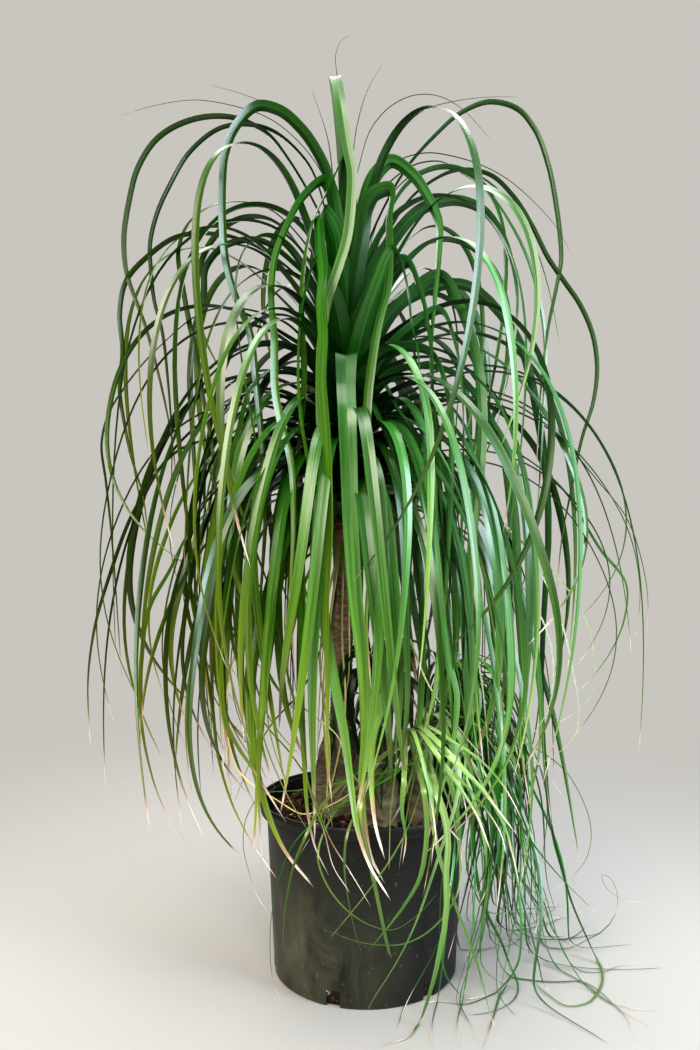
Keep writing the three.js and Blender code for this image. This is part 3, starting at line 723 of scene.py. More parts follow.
def drawn_line(leaf):
    """Points along a drawn leaf, on one smooth curve."""
    flat = np.array([pixel[:2] for pixel in leaf.pixels], float)
    along = np.concatenate([[0], np.cumsum(np.hypot(*np.diff(flat, axis=0).T))])
    known = [(a, min(p[2], floor_depth(p[1]))) for a, p in zip(along, leaf.pixels) if len(p) > 2]
    depths = [min(ramp(known, a), floor_depth(p[1])) for a, p in zip(along, leaf.pixels)]
    points = np.array([seen(*place, depth) for place, depth in zip(flat, depths)])
    knots = np.concatenate([[0], np.cumsum(np.linalg.norm(np.diff(points, axis=0), axis=1))])
    slopes = np.gradient(points, knots, axis=0)
    at = np.linspace(0, knots[-1], max(16, int(knots[-1] / LINE_STEP)))
    first = np.clip(np.searchsorted(knots, at, side="right") - 1, 0, len(knots) - 2)
    gap = (knots[first + 1] - knots[first])[:, None]
    t = (at - knots[first])[:, None] / gap
    line = ((2 * t**3 - 3 * t**2 + 1) * points[first] + (t**3 - 2 * t**2 + t) * gap * slopes[first]
            + (3 * t**2 - 2 * t**3) * points[first + 1] + (t**3 - t**2) * gap * slopes[first + 1])
    line[:, 2] = np.maximum(line[:, 2], FLOOR_LIE)
    return line


def drawn_lines(leaves):
    return [(leaf, drawn_line(leaf)) for leaf in leaves]


def clear_of_pot(line):
    """Ends a line where it would run into the pot or sink into its soil."""
    away = np.hypot(line[:, 0], line[:, 1])
    inside = (away < RIM_RADIUS + 2) & (line[:, 2] < POT_HEIGHT + 6)
    on_soil = (away < RIM_RADIUS - 10) & (line[:, 2] > SOIL_LEVEL + 8)
    hit = np.nonzero(inside & ~on_soil)[0]
    return line[:hit[0]] if len(hit) else line


# ---- blades ----

# Where the points lie across a broad and a fine blade, from edge to edge.
BROAD = (-1.0, -0.5, 0.0, 0.5, 1.0)
FINE = (-1.0, 0.0, 1.0)

# How a blade changes along its length, by the share of it: its width beside the width given, the
# slope of its two halves in degrees, and its thickness beside the thickness given.
WIDTHS = [(0, 2.0), (0.06, 1.75), (0.2, 1.2), (0.42, 1.0), (0.64, 0.82), (0.8, 0.5), (0.88, 0.3),
          (0.95, 0.2), (1, 0.15)]
FOLDS = [(0, 44), (0.08, 20), (0.2, 9), (0.7, 8), (1, 20)]
THICKNESSES = [(0, 1.6), (0.2, 1.0), (1, 0.4)]

FLATTEST = 0.3  # the least height over the floor of a leaf that lies on it
SHORTEST_LINE = 12  # a leaf that the pot cuts to fewer points is left out
COOL_WIDTH = 460  # over which the painted light on the leaves turns from warm on the left to cool on the right
STRAIGHT_EFFORT = 0.0028  # how much a straight millimetre counts beside a radian of bend


def stations(line, count):
    """Picks points along a line, close together where it bends."""
    step = np.diff(line, axis=0)
    length = np.linalg.norm(step, axis=1)
    heading = step / length[:, None]
    bend = np.concatenate([[0], np.arccos(np.clip((heading[1:] * heading[:-1]).sum(1), -1, 1))])
    effort = np.concatenate([[0], np.cumsum(bend + STRAIGHT_EFFORT * length)])
    along = np.concatenate([[0], np.cumsum(length)])
    at = np.interp(np.linspace(0, effort[-1], count), effort, along)
    places = np.stack([np.interp(at, along, line[:, a]) for a in range(3)], axis=1)
    return places, at


def unit(v):
    return v / np.linalg.norm(v)


def blade(line, leaf, across, count, thick):
    """A closed blade along a line: a shallow gutter that narrows to a small blunt end, sharp at
    both edges. Where it lies on the floor it lies flat."""
    places, along = stations(line, count)
    tangent = np.array([unit(step) for step in np.gradient(places, axis=0)])
    azimuth = math.radians(leaf.azimuth)
    side = np.empty((count, 3))
    facing = np.array([-math.sin(azimuth), math.cos(azimuth), 0.0])
    for i in range(count):
        facing = unit(facing - tangent[i] * facing.dot(tangent[i]))
        side[i] = facing
    up = np.cross(tangent, side)
    share = along / along[-1]
    twist = math.radians(leaf.twist) * smooth((share - 0.1) / 0.6)
    cos, sin = np.cos(twist)[:, None], np.sin(twist)[:, None]
    side, up = side * cos + up * sin, up * cos - side * sin
    lying = smooth(1 - (places[:, 2] - FLOOR_LIE) / LANDING)[:, None]
    level = np.cross(tangent, (0.0, 0.0, 1.0))
    level *= np.sign((level * side).sum(1))[:, None]
    side = side * (1 - lying) + level * lying
    side /= np.linalg.norm(side, axis=1)[:, None]
    up = np.cross(tangent, side)

    half = leaf.width / 2 * ramp(WIDTHS, share)
    fold = np.radians(ramp(FOLDS, share))
    depth = thick * ramp(THICKNESSES, share)
    under = across[-2:0:-1]
    ring = []
    for c, below in [(c, 0) for c in across] + [(c, 1) for c in under]:
        lift = (c * c * 0.2 + abs(c) * 0.8) * half * np.sin(fold) - below * depth * (1 - c * c)
        ring.append(places + side * (c * half * np.cos(fold))[:, None] + up * lift[:, None])
    vertices = np.stack(ring, axis=1).reshape(-1, 3)
    around = len(ring)
    keep = (count - 1) * around
    vertices = np.vstack([vertices[:keep], places[-1]])
    vertices[:, 2] = above_floor(vertices[:, 2])
    faces = [tuple(range(around))]
    for r in range(count - 2):
        a = r * around
        for c in range(around):
            d = (c + 1) % around
            faces.append((a + d, a + c, a + around + c, a + around + d))
    a = keep - around
    faces += [(a + (c + 1) % around, a + c, keep) for c in range(around)]
    marks = {
        "across": np.append(np.tile([*across, *under], count - 1), 0),
        "share": np.append(np.repeat(share[:-1], around), 1),
        "to_tip": np.append(np.repeat(along[-1] - along[:-1], around), 0),
    }
    return vertices, faces, marks


def above_floor(z):
    """Presses what would sink into the floor flat on it."""
    room = FLOOR_LIE - FLATTEST
    return np.where(z < FLOOR_LIE, FLATTEST + room * np.exp(np.minimum(z - FLOOR_LIE, 0) / room), z)


def make_blades(name, lines, material, node, across=BROAD, count=46, thick=1.0):
    """One mesh of closed blades, with what the leaf material reads kept at their points."""
    vertices = []
    faces = []
    marks = {key: [] for key in LEAF_MARKS}
    base = 0
    for leaf, line in lines:
        if len(line) < SHORTEST_LINE:
            continue
        v, f, m = blade(line, leaf, across, count, thick)
        vertices.append(v)
        faces += [tuple(base + i for i in face) for face in f]
        for key, values in m.items():
            marks[key].append(values)
        marks["tone"].append(np.full(len(v), leaf.tone))
        # How far right each point lies, which sets the painted warm and cool light and the painted sheen.
        marks["cool"].append(np.clip(0.5 + v[:, 0] / COOL_WIDTH, 0, 1))
        marks["dry"].append(np.full(len(v), leaf.dry))
        base += len(v)
    piece = make_object(name, np.vstack(vertices), faces, material, [node])
    for key, values in marks.items():
        set_attribute(piece.data, key, np.concatenate(values))
    sharpen_edges(piece.data)


def sharpen_edges(mesh):
    """Marks the edges and the midrib of every blade sharp, so that each half shades on its own."""
    across = np.empty(len(mesh.vertices), np.float32)
    mesh.attributes["across"].data.foreach_get("value", across)
    ends = np.empty(len(mesh.edges) * 2, np.int32)
    mesh.edges.foreach_get("vertices", ends)
    ends = ends.reshape(-1, 2)
    first, second = across[ends[:, 0]], across[ends[:, 1]]
    sharp = ((np.abs(first) == 1) | (first == 0)) & (first == second)
    layer = mesh.attributes.new("sharp_edge", "BOOLEAN", "EDGE")
    layer.data.foreach_set("value", sharp)


# ---- crown ----

STEM = (-26, 0)
STEM_RADIUS = 14
STEM_TOP = 832
STEM_TAPER = 775  # the height from which the stem narrows to its top
CLASP_GAP = (3.4, 5.4)  # the least and the most from one leaf base to the next
FRONT = -90  # the azimuth of the front

# The crown's pieces, by the heights between which their leaves leave the stem.
STOREYS = [("upper", 770, 900), ("middle", 690, 770), ("lower", 0, 690)]


@dataclass
class Tier:
    """A storey of the crown. Each pair goes from its lowest or innermost leaf to its highest."""
    leaves: int
    series: int
    root: tuple
    rise: tuple
    near: tuple
    far: tuple
    snap: tuple
    low_tip: tuple
    high_tip: tuple
    width: tuple
    hang: tuple
    twist: float = 85.0
    tone: tuple = (0.2, 1.0)
    middle: float = 180.0
    spread: float = 360.0
    window: float = 24.0  # no leaf hangs within so many degrees of the front, where the trunk shows


# The upright top, the wide middle, the short leaves round the stem's foot, and those in front.
ROSETTE = Tier(36, 100, (784, 824), (55, 285), (190, 110), (320, 290), (3.0, 5.5), (330, 420),
               (560, 760), (9, 14), (-93, -110))
SKIRT = Tier(80, 200, (625, 780), (26, 85), (120, 150), (300, 345), (1.8, 2.8), (140, 200),
             (330, 470), (9, 15), (-86, -102))
CURTAIN = Tier(48, 300, (600, 700), (18, 60), (120, 140), (250, 320), (1.6, 2.6), (120, 180),
               (260, 380), (9, 14), (-82, -98))
FAN = Tier(29, 400, (600, 700), (22, 60), (120, 150), (175, 205), (2.2, 3.4), (130, 190),
           (240, 330), (12, 16), (-86, -96), twist=35, tone=(0.5, 1.0), middle=FRONT, spread=140, window=9)

# The leaves that give the crown its outline.
OUTLINE_LEAVES = [
    Leaf(14, 808, 330, 268, 4, length=660, width=7, dry=0),
    Leaf(-24, 800, 235, 205, 4, tip=500, width=15, hang=-102),
    Leaf(-1, 735, 396, 62, 2.6, tip=430, width=10, hang=-100, tuck=50),
    Leaf(-9, 715, 372, 70, 2.8, tip=300, width=10, hang=-102),
    Leaf(-5, 720, 365, 45, 2.6, tip=420, width=9, hang=-98),
    Leaf(-12, 640, 362, 30, 2.6, tip=300, width=10, hang=-100, tuck=40),
    Leaf(-2, 650, 392, 35, 2.6, tip=400, width=9, hang=-98, tuck=45),
    Leaf(196, 790, 215, 210, 4, tip=380, width=14, hang=-99, twist=40),
    Leaf(181, 790, 300, 200, 3, tip=400, width=12, hang=-95),
    Leaf(187, 745, 322, 105, 3, tip=330, width=12, tuck=30),
    Leaf(184, 690, 338, 55, 2.4, tip=330, width=11, hang=-93, tuck=20),
    Leaf(200, 690, 185, 70, 3.5, tip=260, width=14, hang=-96),
    Leaf(-160, 715, 176, 70, 3, tip=430, width=14),
    Leaf(-152, 790, 212, 122, 3.6, tip=520, width=13),
    Leaf(-112, 745, 330, 80, 2.8, tip=330, width=10, hang=-98, tuck=30),
    Leaf(-66, 700, 332, 60, 2.6, tip=300, width=10, hang=-98, tuck=30),
    Leaf(104, 735, 356, 70, 2.8, tip=360, width=10, hang=-98, tuck=30),
    Leaf(79, 705, 350, 60, 2.6, tip=330, width=10, hang=-98, tuck=30),
]

# Long leaves that arch out to both sides.
SIDE_LEAVES = [
    Drawn([(346, 345, 0), (330, 240), (303, 183), (291, 164), (266, 133), (234, 118), (200, 118), (157, 139),
           (138, 168), (129, 202), (124, 237), (125, 263), (146, 328), (160, 380), (172, 440), (178, 500)],
          9, 180, 60, tone=0.3),
    Drawn([(346, 345, 0), (330, 230), (305, 160), (265, 128), (224, 127), (190, 152), (171, 183), (157, 214),
           (150, 246), (151, 269), (155, 304), (161, 325), (168, 380), (172, 440), (170, 520)],
          8, 180, 50, tone=0.25),
    Drawn([(348, 345, 0), (366, 250), (388, 200), (407, 168), (434, 137), (461, 113), (490, 102), (519, 110),
           (534, 128), (548, 164), (556, 204), (560, 235), (561, 262), (557, 284), (548, 329), (540, 400),
           (536, 480)], 8, 0, -70, tone=0.25),
    Drawn([(348, 345, 0), (362, 240), (392, 180), (420, 163), (443, 162), (461, 173), (487, 191), (508, 220),
           (528, 260), (541, 309), (545, 342), (544, 393), (540, 470), (534, 560)], 9, 0, 60, tone=0.45),
    Drawn([(348, 345, 0), (380, 250), (420, 190), (461, 170), (490, 175), (512, 195), (532, 226), (548, 258),
           (563, 280), (579, 303), (593, 336), (597, 364), (593, 403), (583, 434), (571, 491), (563, 530),
           (556, 600)], 8, 0, -60, tone=0.2),
    Drawn([(346, 360, 0), (310, 250), (260, 205), (215, 205), (188, 225), (179, 250), (183, 286), (190, 325),
           (197, 357), (204, 402), (211, 437), (216, 500), (218, 580)], 10, 180, -70, tone=0.4),
    Drawn([(346, 370, 0), (300, 270), (255, 240), (222, 248), (206, 268), (204, 295), (195, 330), (190, 375),
           (192, 420), (196, 500), (198, 580)], 10, 200, 60, tone=0.35),
    Drawn([(346, 380, 0), (290, 270), (220, 235), (175, 238), (151, 254), (126, 282), (120, 312), (123, 350),
           (120, 393), (124, 420), (131, 455), (142, 491), (150, 560)], 10, 180, 40, tone=0.4),
    Drawn([(346, 410, 0), (280, 320), (210, 310), (158, 348), (126, 386), (108, 416), (102, 443), (106, 479),
           (111, 525), (114, 560), (118, 620), (122, 680)], 10, 180, -40, tone=0.3),
    Drawn([(346, 500, 0), (260, 440), (180, 450), (135, 510), (112, 569), (94, 632), (88, 685), (89, 721),
           (91, 752)], 9, 180, 30, tone=0.4),
]

# Broad leaves that hang over the front.
FRONT_LEAVES = [
    Drawn([(348, 345, 0), (347, 240), (343, 150), (338, 100), (335, 77, -60), (340, 100, -75), (347, 145),
           (352, 172), (351, 202), (347, 237), (337, 271), (328, 298), (322, 335, -100), (319, 400),
           (321, 470), (322, 540, -125), (318, 620)], 14, -85, 0, tone=0.5),
    Drawn([(346, 345, 0), (339, 270), (330, 224), (323, 213, -60), (321, 240), (324, 269), (322, 304, -140),
           (324, 339), (322, 375), (326, 429), (328, 475), (329, 528), (326, 605), (328, 676),
           (328, 759, -160), (333, 812)], 19, -95, -15, tone=1.0),
    Drawn([(346, 425, 0), (345, 380), (346, 355, -60), (346, 385), (347, 411, -110), (349, 464), (351, 528),
           (356, 602), (363, 664), (365, 745), (362, 776), (365, 823, -150), (372, 859), (385, 884)], 20, -88,
          15, 90, 0.95),
    Drawn([(345, 345, 0), (338, 240), (322, 162), (300, 128), (280, 111), (259, 106), (238, 124), (226, 152),
           (223, 183), (223, 221, -80), (226, 260), (238, 302), (249, 328), (256, 380), (262, 440, -90),
           (266, 500), (262, 580), (256, 650, -110), (252, 700)], 14, -130, 30, tone=0.45),
    Drawn([(346, 345, 0), (340, 240), (323, 181, -50), (303, 198), (287, 227), (276, 256), (272, 288),
           (275, 339, -130), (276, 393), (283, 429), (290, 455), (294, 520), (291, 600),
           (295, 680, -130)], 16, -115, 50, tone=0.75),
    Drawn([(348, 345, 0), (350, 210), (345, 156, -50), (328, 191), (316, 214), (307, 250), (302, 310),
           (305, 370, -90), (300, 440), (292, 520), (288, 600, -110), (284, 670)], 16, -110, -30),
    Drawn([(348, 345, 0), (360, 250), (376, 193), (388, 189, -70), (388, 221), (389, 250), (385, 298),
           (381, 311), (371, 364), (366, 420), (368, 470, -120), (372, 540), (366, 620),
           (372, 700, -140)], 17, -80, -40, tone=0.5),
    Drawn([(348, 345, 0), (362, 220), (378, 172), (389, 162, -50), (412, 175), (427, 197), (438, 222),
           (438, 253), (434, 298), (430, 350), (434, 420, -90), (440, 500), (446, 580),
           (452, 660, -110), (456, 720)], 17, -70, 30, tone=0.8),
    Drawn([(348, 345, 0), (390, 245), (425, 208), (456, 201), (483, 211, -40), (501, 235), (512, 267),
           (516, 291), (515, 332), (507, 376), (493, 434), (473, 485), (462, 560), (458, 640, -70)], 17, -55,
          40, tone=0.7),
    Drawn([(348, 400, 0), (375, 295), (396, 251, -90), (407, 287), (412, 327), (416, 342), (420, 393),
           (424, 450), (426, 520, -140), (424, 600)], 19, -75, -10, tone=1.0),
    Drawn([(348, 380, 0), (385, 280), (405, 262, -80), (418, 287), (427, 327), (432, 372), (426, 423),
           (416, 474), (412, 530), (418, 600), (428, 650), (426, 706), (421, 741), (414, 776),
           (406, 818, -150), (399, 870)], 19, -80, 30, 50, 0.6),
    Drawn([(348, 420, 0), (400, 305), (440, 276, -60), (463, 315), (477, 362), (482, 413), (481, 454),
           (473, 525), (470, 600), (476, 700), (484, 770, -110)], 16, -60, -45),
    Drawn([(348, 430, 0), (410, 330), (440, 311, -80), (454, 342), (461, 383), (463, 464), (461, 530),
           (466, 620), (470, 690), (477, 750), (487, 790, -110)], 16, -70, 35, tone=0.9),
    Drawn([(348, 440, 0), (362, 388), (379, 381, -90), (397, 409), (416, 438), (426, 474), (432, 530),
           (441, 600), (448, 660), (456, 692), (454, 734), (447, 769), (437, 804), (426, 846, -165),
           (423, 876)], 17, -80, 25, 80, 0.8),
    Drawn([(348, 450, 0), (354, 408), (365, 401, -90), (385, 434), (395, 464), (403, 530), (410, 610),
           (402, 660), (396, 720), (396, 762), (391, 804, -175), (389, 870)], 20, -88, -20, 30, 1.0),
    Drawn([(350, 440, 0), (440, 402), (507, 401, -50), (544, 423), (575, 450), (605, 487), (628, 530),
           (640, 590), (636, 640, -20)], 12, -40, 30),
    Drawn([(344, 420, 0), (310, 378), (270, 371, -90), (251, 391), (240, 429), (229, 464), (215, 518),
           (206, 580), (204, 650), (212, 720, -110)], 17, -130, -30, tone=0.7),
    Drawn([(346, 380, 0), (330, 290), (316, 262, -80), (306, 290), (300, 330), (299, 357), (301, 411),
           (308, 455), (313, 482), (318, 540), (314, 620), (308, 700, -150)], 19, -100, 30, tone=0.9),
    Drawn([(345, 505, 0), (325, 494), (305, 500, -90), (291, 519), (273, 580), (259, 632), (251, 676),
           (251, 712), (253, 750), (262, 793), (283, 847), (314, 888, -170)], 19, -105, -25, 70, 0.9),
    Drawn([(345, 520, 0), (328, 506), (312, 508, -90), (303, 530), (301, 578), (303, 632), (302, 700),
           (305, 760), (309, 817, -175), (316, 848), (329, 876)], 19, -95, 15, 90, 1.0),
    Drawn([(344, 480, 0), (300, 455), (268, 460, -90), (251, 480), (237, 534), (230, 569), (234, 614),
           (238, 660), (248, 694), (270, 730), (288, 750), (304, 773), (317, 805), (331, 841), (351, 873),
           (371, 907, -180)], 16, -115, 20, 110, 0.8),
    Drawn([(344, 470, 0), (280, 442), (242, 450, -80), (226, 480), (216, 534), (217, 587), (220, 632),
           (221, 680), (226, 722), (238, 746), (256, 773), (270, 796), (287, 824, -165)], 16, -130, -30,
          80, 0.7),
    Drawn([(344, 470, 0), (260, 435), (222, 448, -60), (205, 480), (191, 534), (191, 587), (201, 641),
           (212, 700), (220, 762), (234, 807), (249, 837), (277, 879, -140)], 16, -140, 30, 70, 0.8),
    Drawn([(344, 480, 0), (250, 470), (208, 500, -60), (187, 551), (169, 623), (166, 676), (170, 730),
           (184, 790), (205, 840, -80)], 14, -150, 40, 90, 0.6),
    Drawn([(344, 490, 0), (240, 490), (192, 530, -30), (169, 573), (151, 605), (142, 659), (141, 712),
           (148, 759), (166, 812), (186, 842, -40)], 12, -160, -40, 90, 0.7),
    Drawn([(348, 480, 0), (388, 468), (416, 480, -100), (432, 521), (444, 582), (452, 643), (463, 704),
           (474, 770), (490, 797, -150)], 16, -75, -30, 60, 0.75),
    Drawn([(347, 500, 0), (354, 487), (366, 496, -110), (377, 531), (389, 582), (394, 633), (386, 690),
           (372, 740), (371, 773), (376, 828, -185), (385, 860)], 17, -85, 20, 80, 0.85),
    Drawn([(348, 480, 0), (450, 440), (510, 450, -10), (554, 480), (601, 551), (626, 585), (624, 619),
           (612, 649), (593, 676), (569, 700, 0)], 11, -50, 60, 60, 0.6),
    Drawn([(348, 450, 0), (480, 402), (550, 430, 20), (597, 480), (626, 517), (642, 562), (648, 602),
           (646, 636, 20)], 11, -30, 30),
    Drawn([(346, 470, 0), (320, 440), (296, 452, -100), (280, 500), (272, 560), (276, 620), (292, 690),
           (302, 740), (310, 790), (325, 834, -185), (334, 868), (351, 894)], 14, -100, 30, 100, 0.8),
    Drawn([(346, 500, 0), (334, 488), (322, 498, -120), (318, 540), (322, 600), (334, 680), (345, 740),
           (351, 787), (357, 828, -185), (368, 862), (391, 901)], 14, -95, -30, 100, 0.75),
    Drawn([(348, 372, 0), (400, 305), (462, 285, -20), (512, 330), (538, 420, 10), (548, 520), (543, 620),
           (541, 700), (545, 767, 20), (552, 834), (562, 872), (573, 907, 20), (587, 939), (598, 962, DOWN),
           (603, 978, DOWN), (598, 992, DOWN), (585, 1004, DOWN), (568, 1006, DOWN), (548, 995, DOWN),
           (532, 980, DOWN)], 12, -60, 30, 10, 0.5),
    Drawn([(350, 440, 0), (400, 370), (450, 372, -60), (490, 420), (512, 500), (518, 600), (522, 680),
           (520, 740), (527, 790, -60), (530, 806)], 14, -50, -50, 60, 0.9),
    Drawn([(349, 450, 0), (410, 400), (470, 402, -60), (505, 450), (528, 530), (534, 620), (541, 690),
           (544, 760), (552, 830, -50)], 14, -45, 40, 50, 0.6),
    Drawn([(349, 430, 0), (390, 350), (428, 352, -80), (448, 400), (450, 470), (446, 560), (440, 650),
           (440, 706), (441, 757), (447, 782, -150)], 19, -70, -25, 40, 0.95),
]

# Withered threads: old leaf ends, no wider than a stalk of grass.
CROWN_THREADS = [
    Drawn([(340, 330, 0), (326, 180), (300, 143), (272, 120), (230, 105), (196, 100), (157, 105),
           (113, 118, 20)], 2.6, 180, dry=0),
    Drawn([(342, 330, 0), (322, 160), (307, 137), (282, 112), (245, 95), (207, 84, -30)], 2.4, 180, dry=0),
    Drawn([(344, 330, 0), (334, 190), (328, 140), (311, 87, 30)], 2.2, -90, dry=0),
    Drawn([(349, 330, 0), (352, 180), (357, 126), (368, 89), (383, 63, 30)], 2.4, -90, dry=0),
    Drawn([(347, 330, 0), (340, 150), (337, 76), (336, 53), (341, 41), (351, 34, -20)], 2.6, -90, dry=0),
    Drawn([(350, 330, 0), (358, 170), (374, 124), (394, 104), (416, 95), (438, 96), (461, 108), (479, 126),
           (495, 145, 60)], 3.2, 0, dry=0),
    Drawn([(350, 330, 0), (372, 180), (398, 126), (429, 108), (456, 101), (490, 97), (521, 97, 40)], 3.0, 0,
          dry=0),
    Drawn([(350, 340, 0), (370, 200), (396, 162), (425, 153), (456, 157), (501, 175), (534, 202), (559, 231),
           (572, 256, -20)], 4.0, 0, dry=0),
    Drawn([(346, 520, 0), (324, 640), (299, 694), (274, 721), (256, 750), (233, 805, -40)], 2.6, -90, dry=0),
    Drawn([(344, 500, 0), (300, 560), (293, 680), (293, 716), (291, 742), (290, 772, 20)], 2.4, -90, dry=0),
]

# Bleached threads: leaf ends that dried to straw, over the young plants and the soil.
PALE_THREADS = [
    Drawn([(348, 500, 0), (380, 560), (410, 640), (431, 689, -140), (452, 718), (469, 741), (488, 763)], 3.0),
    Drawn([(350, 480, 0), (500, 560), (552, 650), (545, 716, -60), (532, 735), (518, 748), (482, 767)], 3.0),
    Drawn([(350, 480, 0), (440, 560), (478, 660), (487, 734, -90), (489, 762), (490, 797)], 2.8),
    Drawn([(350, 470, 0), (480, 520), (520, 640), (522, 715), (528, 748, -40), (546, 773), (570, 806)], 2.8),
    Drawn([(350, 470, 0), (520, 540), (592, 640), (588, 700), (570, 716, -20), (549, 727)], 2.6),
    Drawn([(350, 470, 0), (500, 520), (571, 660), (572, 740), (549, 759, -60), (515, 772)], 2.8),
    Drawn([(346, 480, 0), (349, 620), (348, 680, -80), (343, 707), (336, 726)], 2.8),
    Drawn([(345, 520, 0), (330, 620), (323, 700, -90), (325, 742), (327, 769), (327, 803), (325, 818),
           (320, 848)], 2.8),
    Drawn([(345, 520, 0), (342, 640), (345, 710, -110), (336, 766), (329, 794), (318, 823), (298, 858)], 2.6),
    Drawn([(345, 520, 0), (320, 660), (330, 760, -120), (327, 803), (332, 823), (333, 841)], 2.6),
    Drawn([(345, 500, 0), (300, 600), (296, 700), (322, 722), (335, 733, -140), (352, 773), (363, 788)], 3.4),
    Drawn([(345, 520, 0), (240, 640), (226, 720), (238, 770), (277, 800, -150), (304, 814), (327, 807),
           (357, 787), (372, 766), (388, 762)], 2.6),
]

# The short dark tuft in front of the trunk, its darkness partly painted shade.
SECOND_LEAVES = [
    Drawn([(372, 726, -42), (384, 690), (376, 661), (368, 652, -60), (360, 664)], 9, tone=0.4),
    Drawn([(373, 726, -42), (390, 680), (397, 655), (407, 650, -50), (414, 668), (418, 700)], 9, tone=0.3),
    Drawn([(372, 726, -42), (378, 700), (366, 690), (358, 700, -70), (355, 722)], 8, tone=0.3),
    Drawn([(373, 726, -42), (394, 700), (408, 694), (416, 706, -70), (420, 735)], 8, tone=0.4),
    Drawn([(372, 726, -42), (385, 700, -60), (380, 690), (374, 706, -85), (371, 740)], 9, tone=0.3),
]

# The pale leaves that arch over the rim, and the fine ones that hang down the pot.
THIRD_LEAVES = [
    Drawn([(412, 741, -46), (415, 728), (440, 744, -190), (470, 776), (498, 810), (519, 838, -250)], 6.5,
          -60, 15, tone=1.0),
    Drawn([(412, 741, -46), (418, 726), (450, 740, -170), (482, 762), (506, 790), (524, 824, -230)], 5.5,
          -50, -15, tone=0.9),
    Drawn([(412, 741, -46), (416, 730), (434, 750, -190), (456, 782), (478, 818), (492, 856, -250)], 6,
          -65, 10, tone=1.0),
    Drawn([(411, 741, -46), (410, 729), (420, 752, -190), (428, 784), (434, 820), (437, 852, -250)], 5.5,
          -80, -15, tone=1.0),
    Drawn([(412, 741, -46), (411, 731), (428, 739), (448, 756, -200), (469, 775), (490, 799), (504, 825),
           (514, 860, -250), (520, 890)], 5.5, -60, 20, tone=1.0),
    Drawn([(412, 741, -46), (414, 734), (430, 748), (448, 768, -200), (469, 789), (487, 811), (500, 832),
           (508, 860, -250)], 5.5, -60, -20, tone=1.0),
    Drawn([(411, 741, -46), (408, 732), (414, 748), (419, 770), (424, 792, -180), (427, 820), (426, 846),
           (419, 880), (404, 906), (384, 932), (364, 956, -175)], 6.5, -90, 20, 0, 0.5),
    Drawn([(412, 741, -46), (414, 733), (424, 752), (432, 774), (438, 797, -170), (445, 818), (448, 846),
           (446, 869), (446, 916), (441, 947), (435, 974, -170), (428, 999), (418, 1025, DOWN),
           (410, 1036, DOWN), (380, 1046, DOWN)], 8, -80, 10, 60, 0.6),
    Drawn([(411, 741, -46), (405, 734), (405, 756), (404, 780, -160), (402, 810), (406, 840), (402, 866)], 7,
          -95, 0, 40, 1.0),
    Drawn([(411, 741, -46), (402, 737), (400, 752, -90), (403, 764), (409, 770), (404, 777)], 7, -95, 90,
          0, 1.0),
    Drawn([(412, 741, -46), (420, 735), (436, 752, -120), (448, 776), (455, 800), (460, 840), (462, 872)], 8,
          -60, 30, 40, 0.9),
    Drawn([(411, 741, -46), (412, 735), (418, 760), (430, 790, -180), (434, 830), (431, 868)], 7, -85, -20,
          60, 0.9),
    Drawn([(411, 741, -46), (404, 730), (394, 745, -80), (386, 768), (384, 792)], 7, -110, 30, 20, 0.8),
    Drawn([(412, 741, -46), (424, 730), (440, 734, -90), (458, 748), (476, 770), (486, 800), (490, 840)], 7,
          -50, 30, 30, 1.0),
    Drawn([(411, 741, -46), (380, 760), (360, 810, -180), (370, 862), (375, 885), (381, 916), (386, 939),
           (391, 959), (398, 987), (404, 1001, DOWN), (396, 1030, DOWN)], 5.5, -90, 0, 0, 0.5),
    Drawn([(411, 741, -46), (380, 770), (330, 820), (318, 859, -185), (327, 885), (349, 912), (372, 926),
           (392, 930), (414, 918), (431, 901), (441, 888)], 2.6, -90, 0, 0, 0.35),
    Drawn([(412, 741, -46), (440, 780), (458, 840), (456, 897, -160), (439, 922), (422, 936), (403, 944),
           (380, 945), (355, 941), (324, 929)], 2.6, -90, 0, 0, 0.35),
    Drawn([(411, 741, -46), (372, 790), (346, 840, -180), (345, 876), (349, 903), (356, 935), (363, 957)],
          3.6, -90, 0, 0, 0.3),
    Drawn([(411, 741, -46), (360, 770), (318, 812), (307, 834, -185), (295, 862), (286, 903), (282, 959)],
          4.5, -90, 0, 0, 0.4),
]

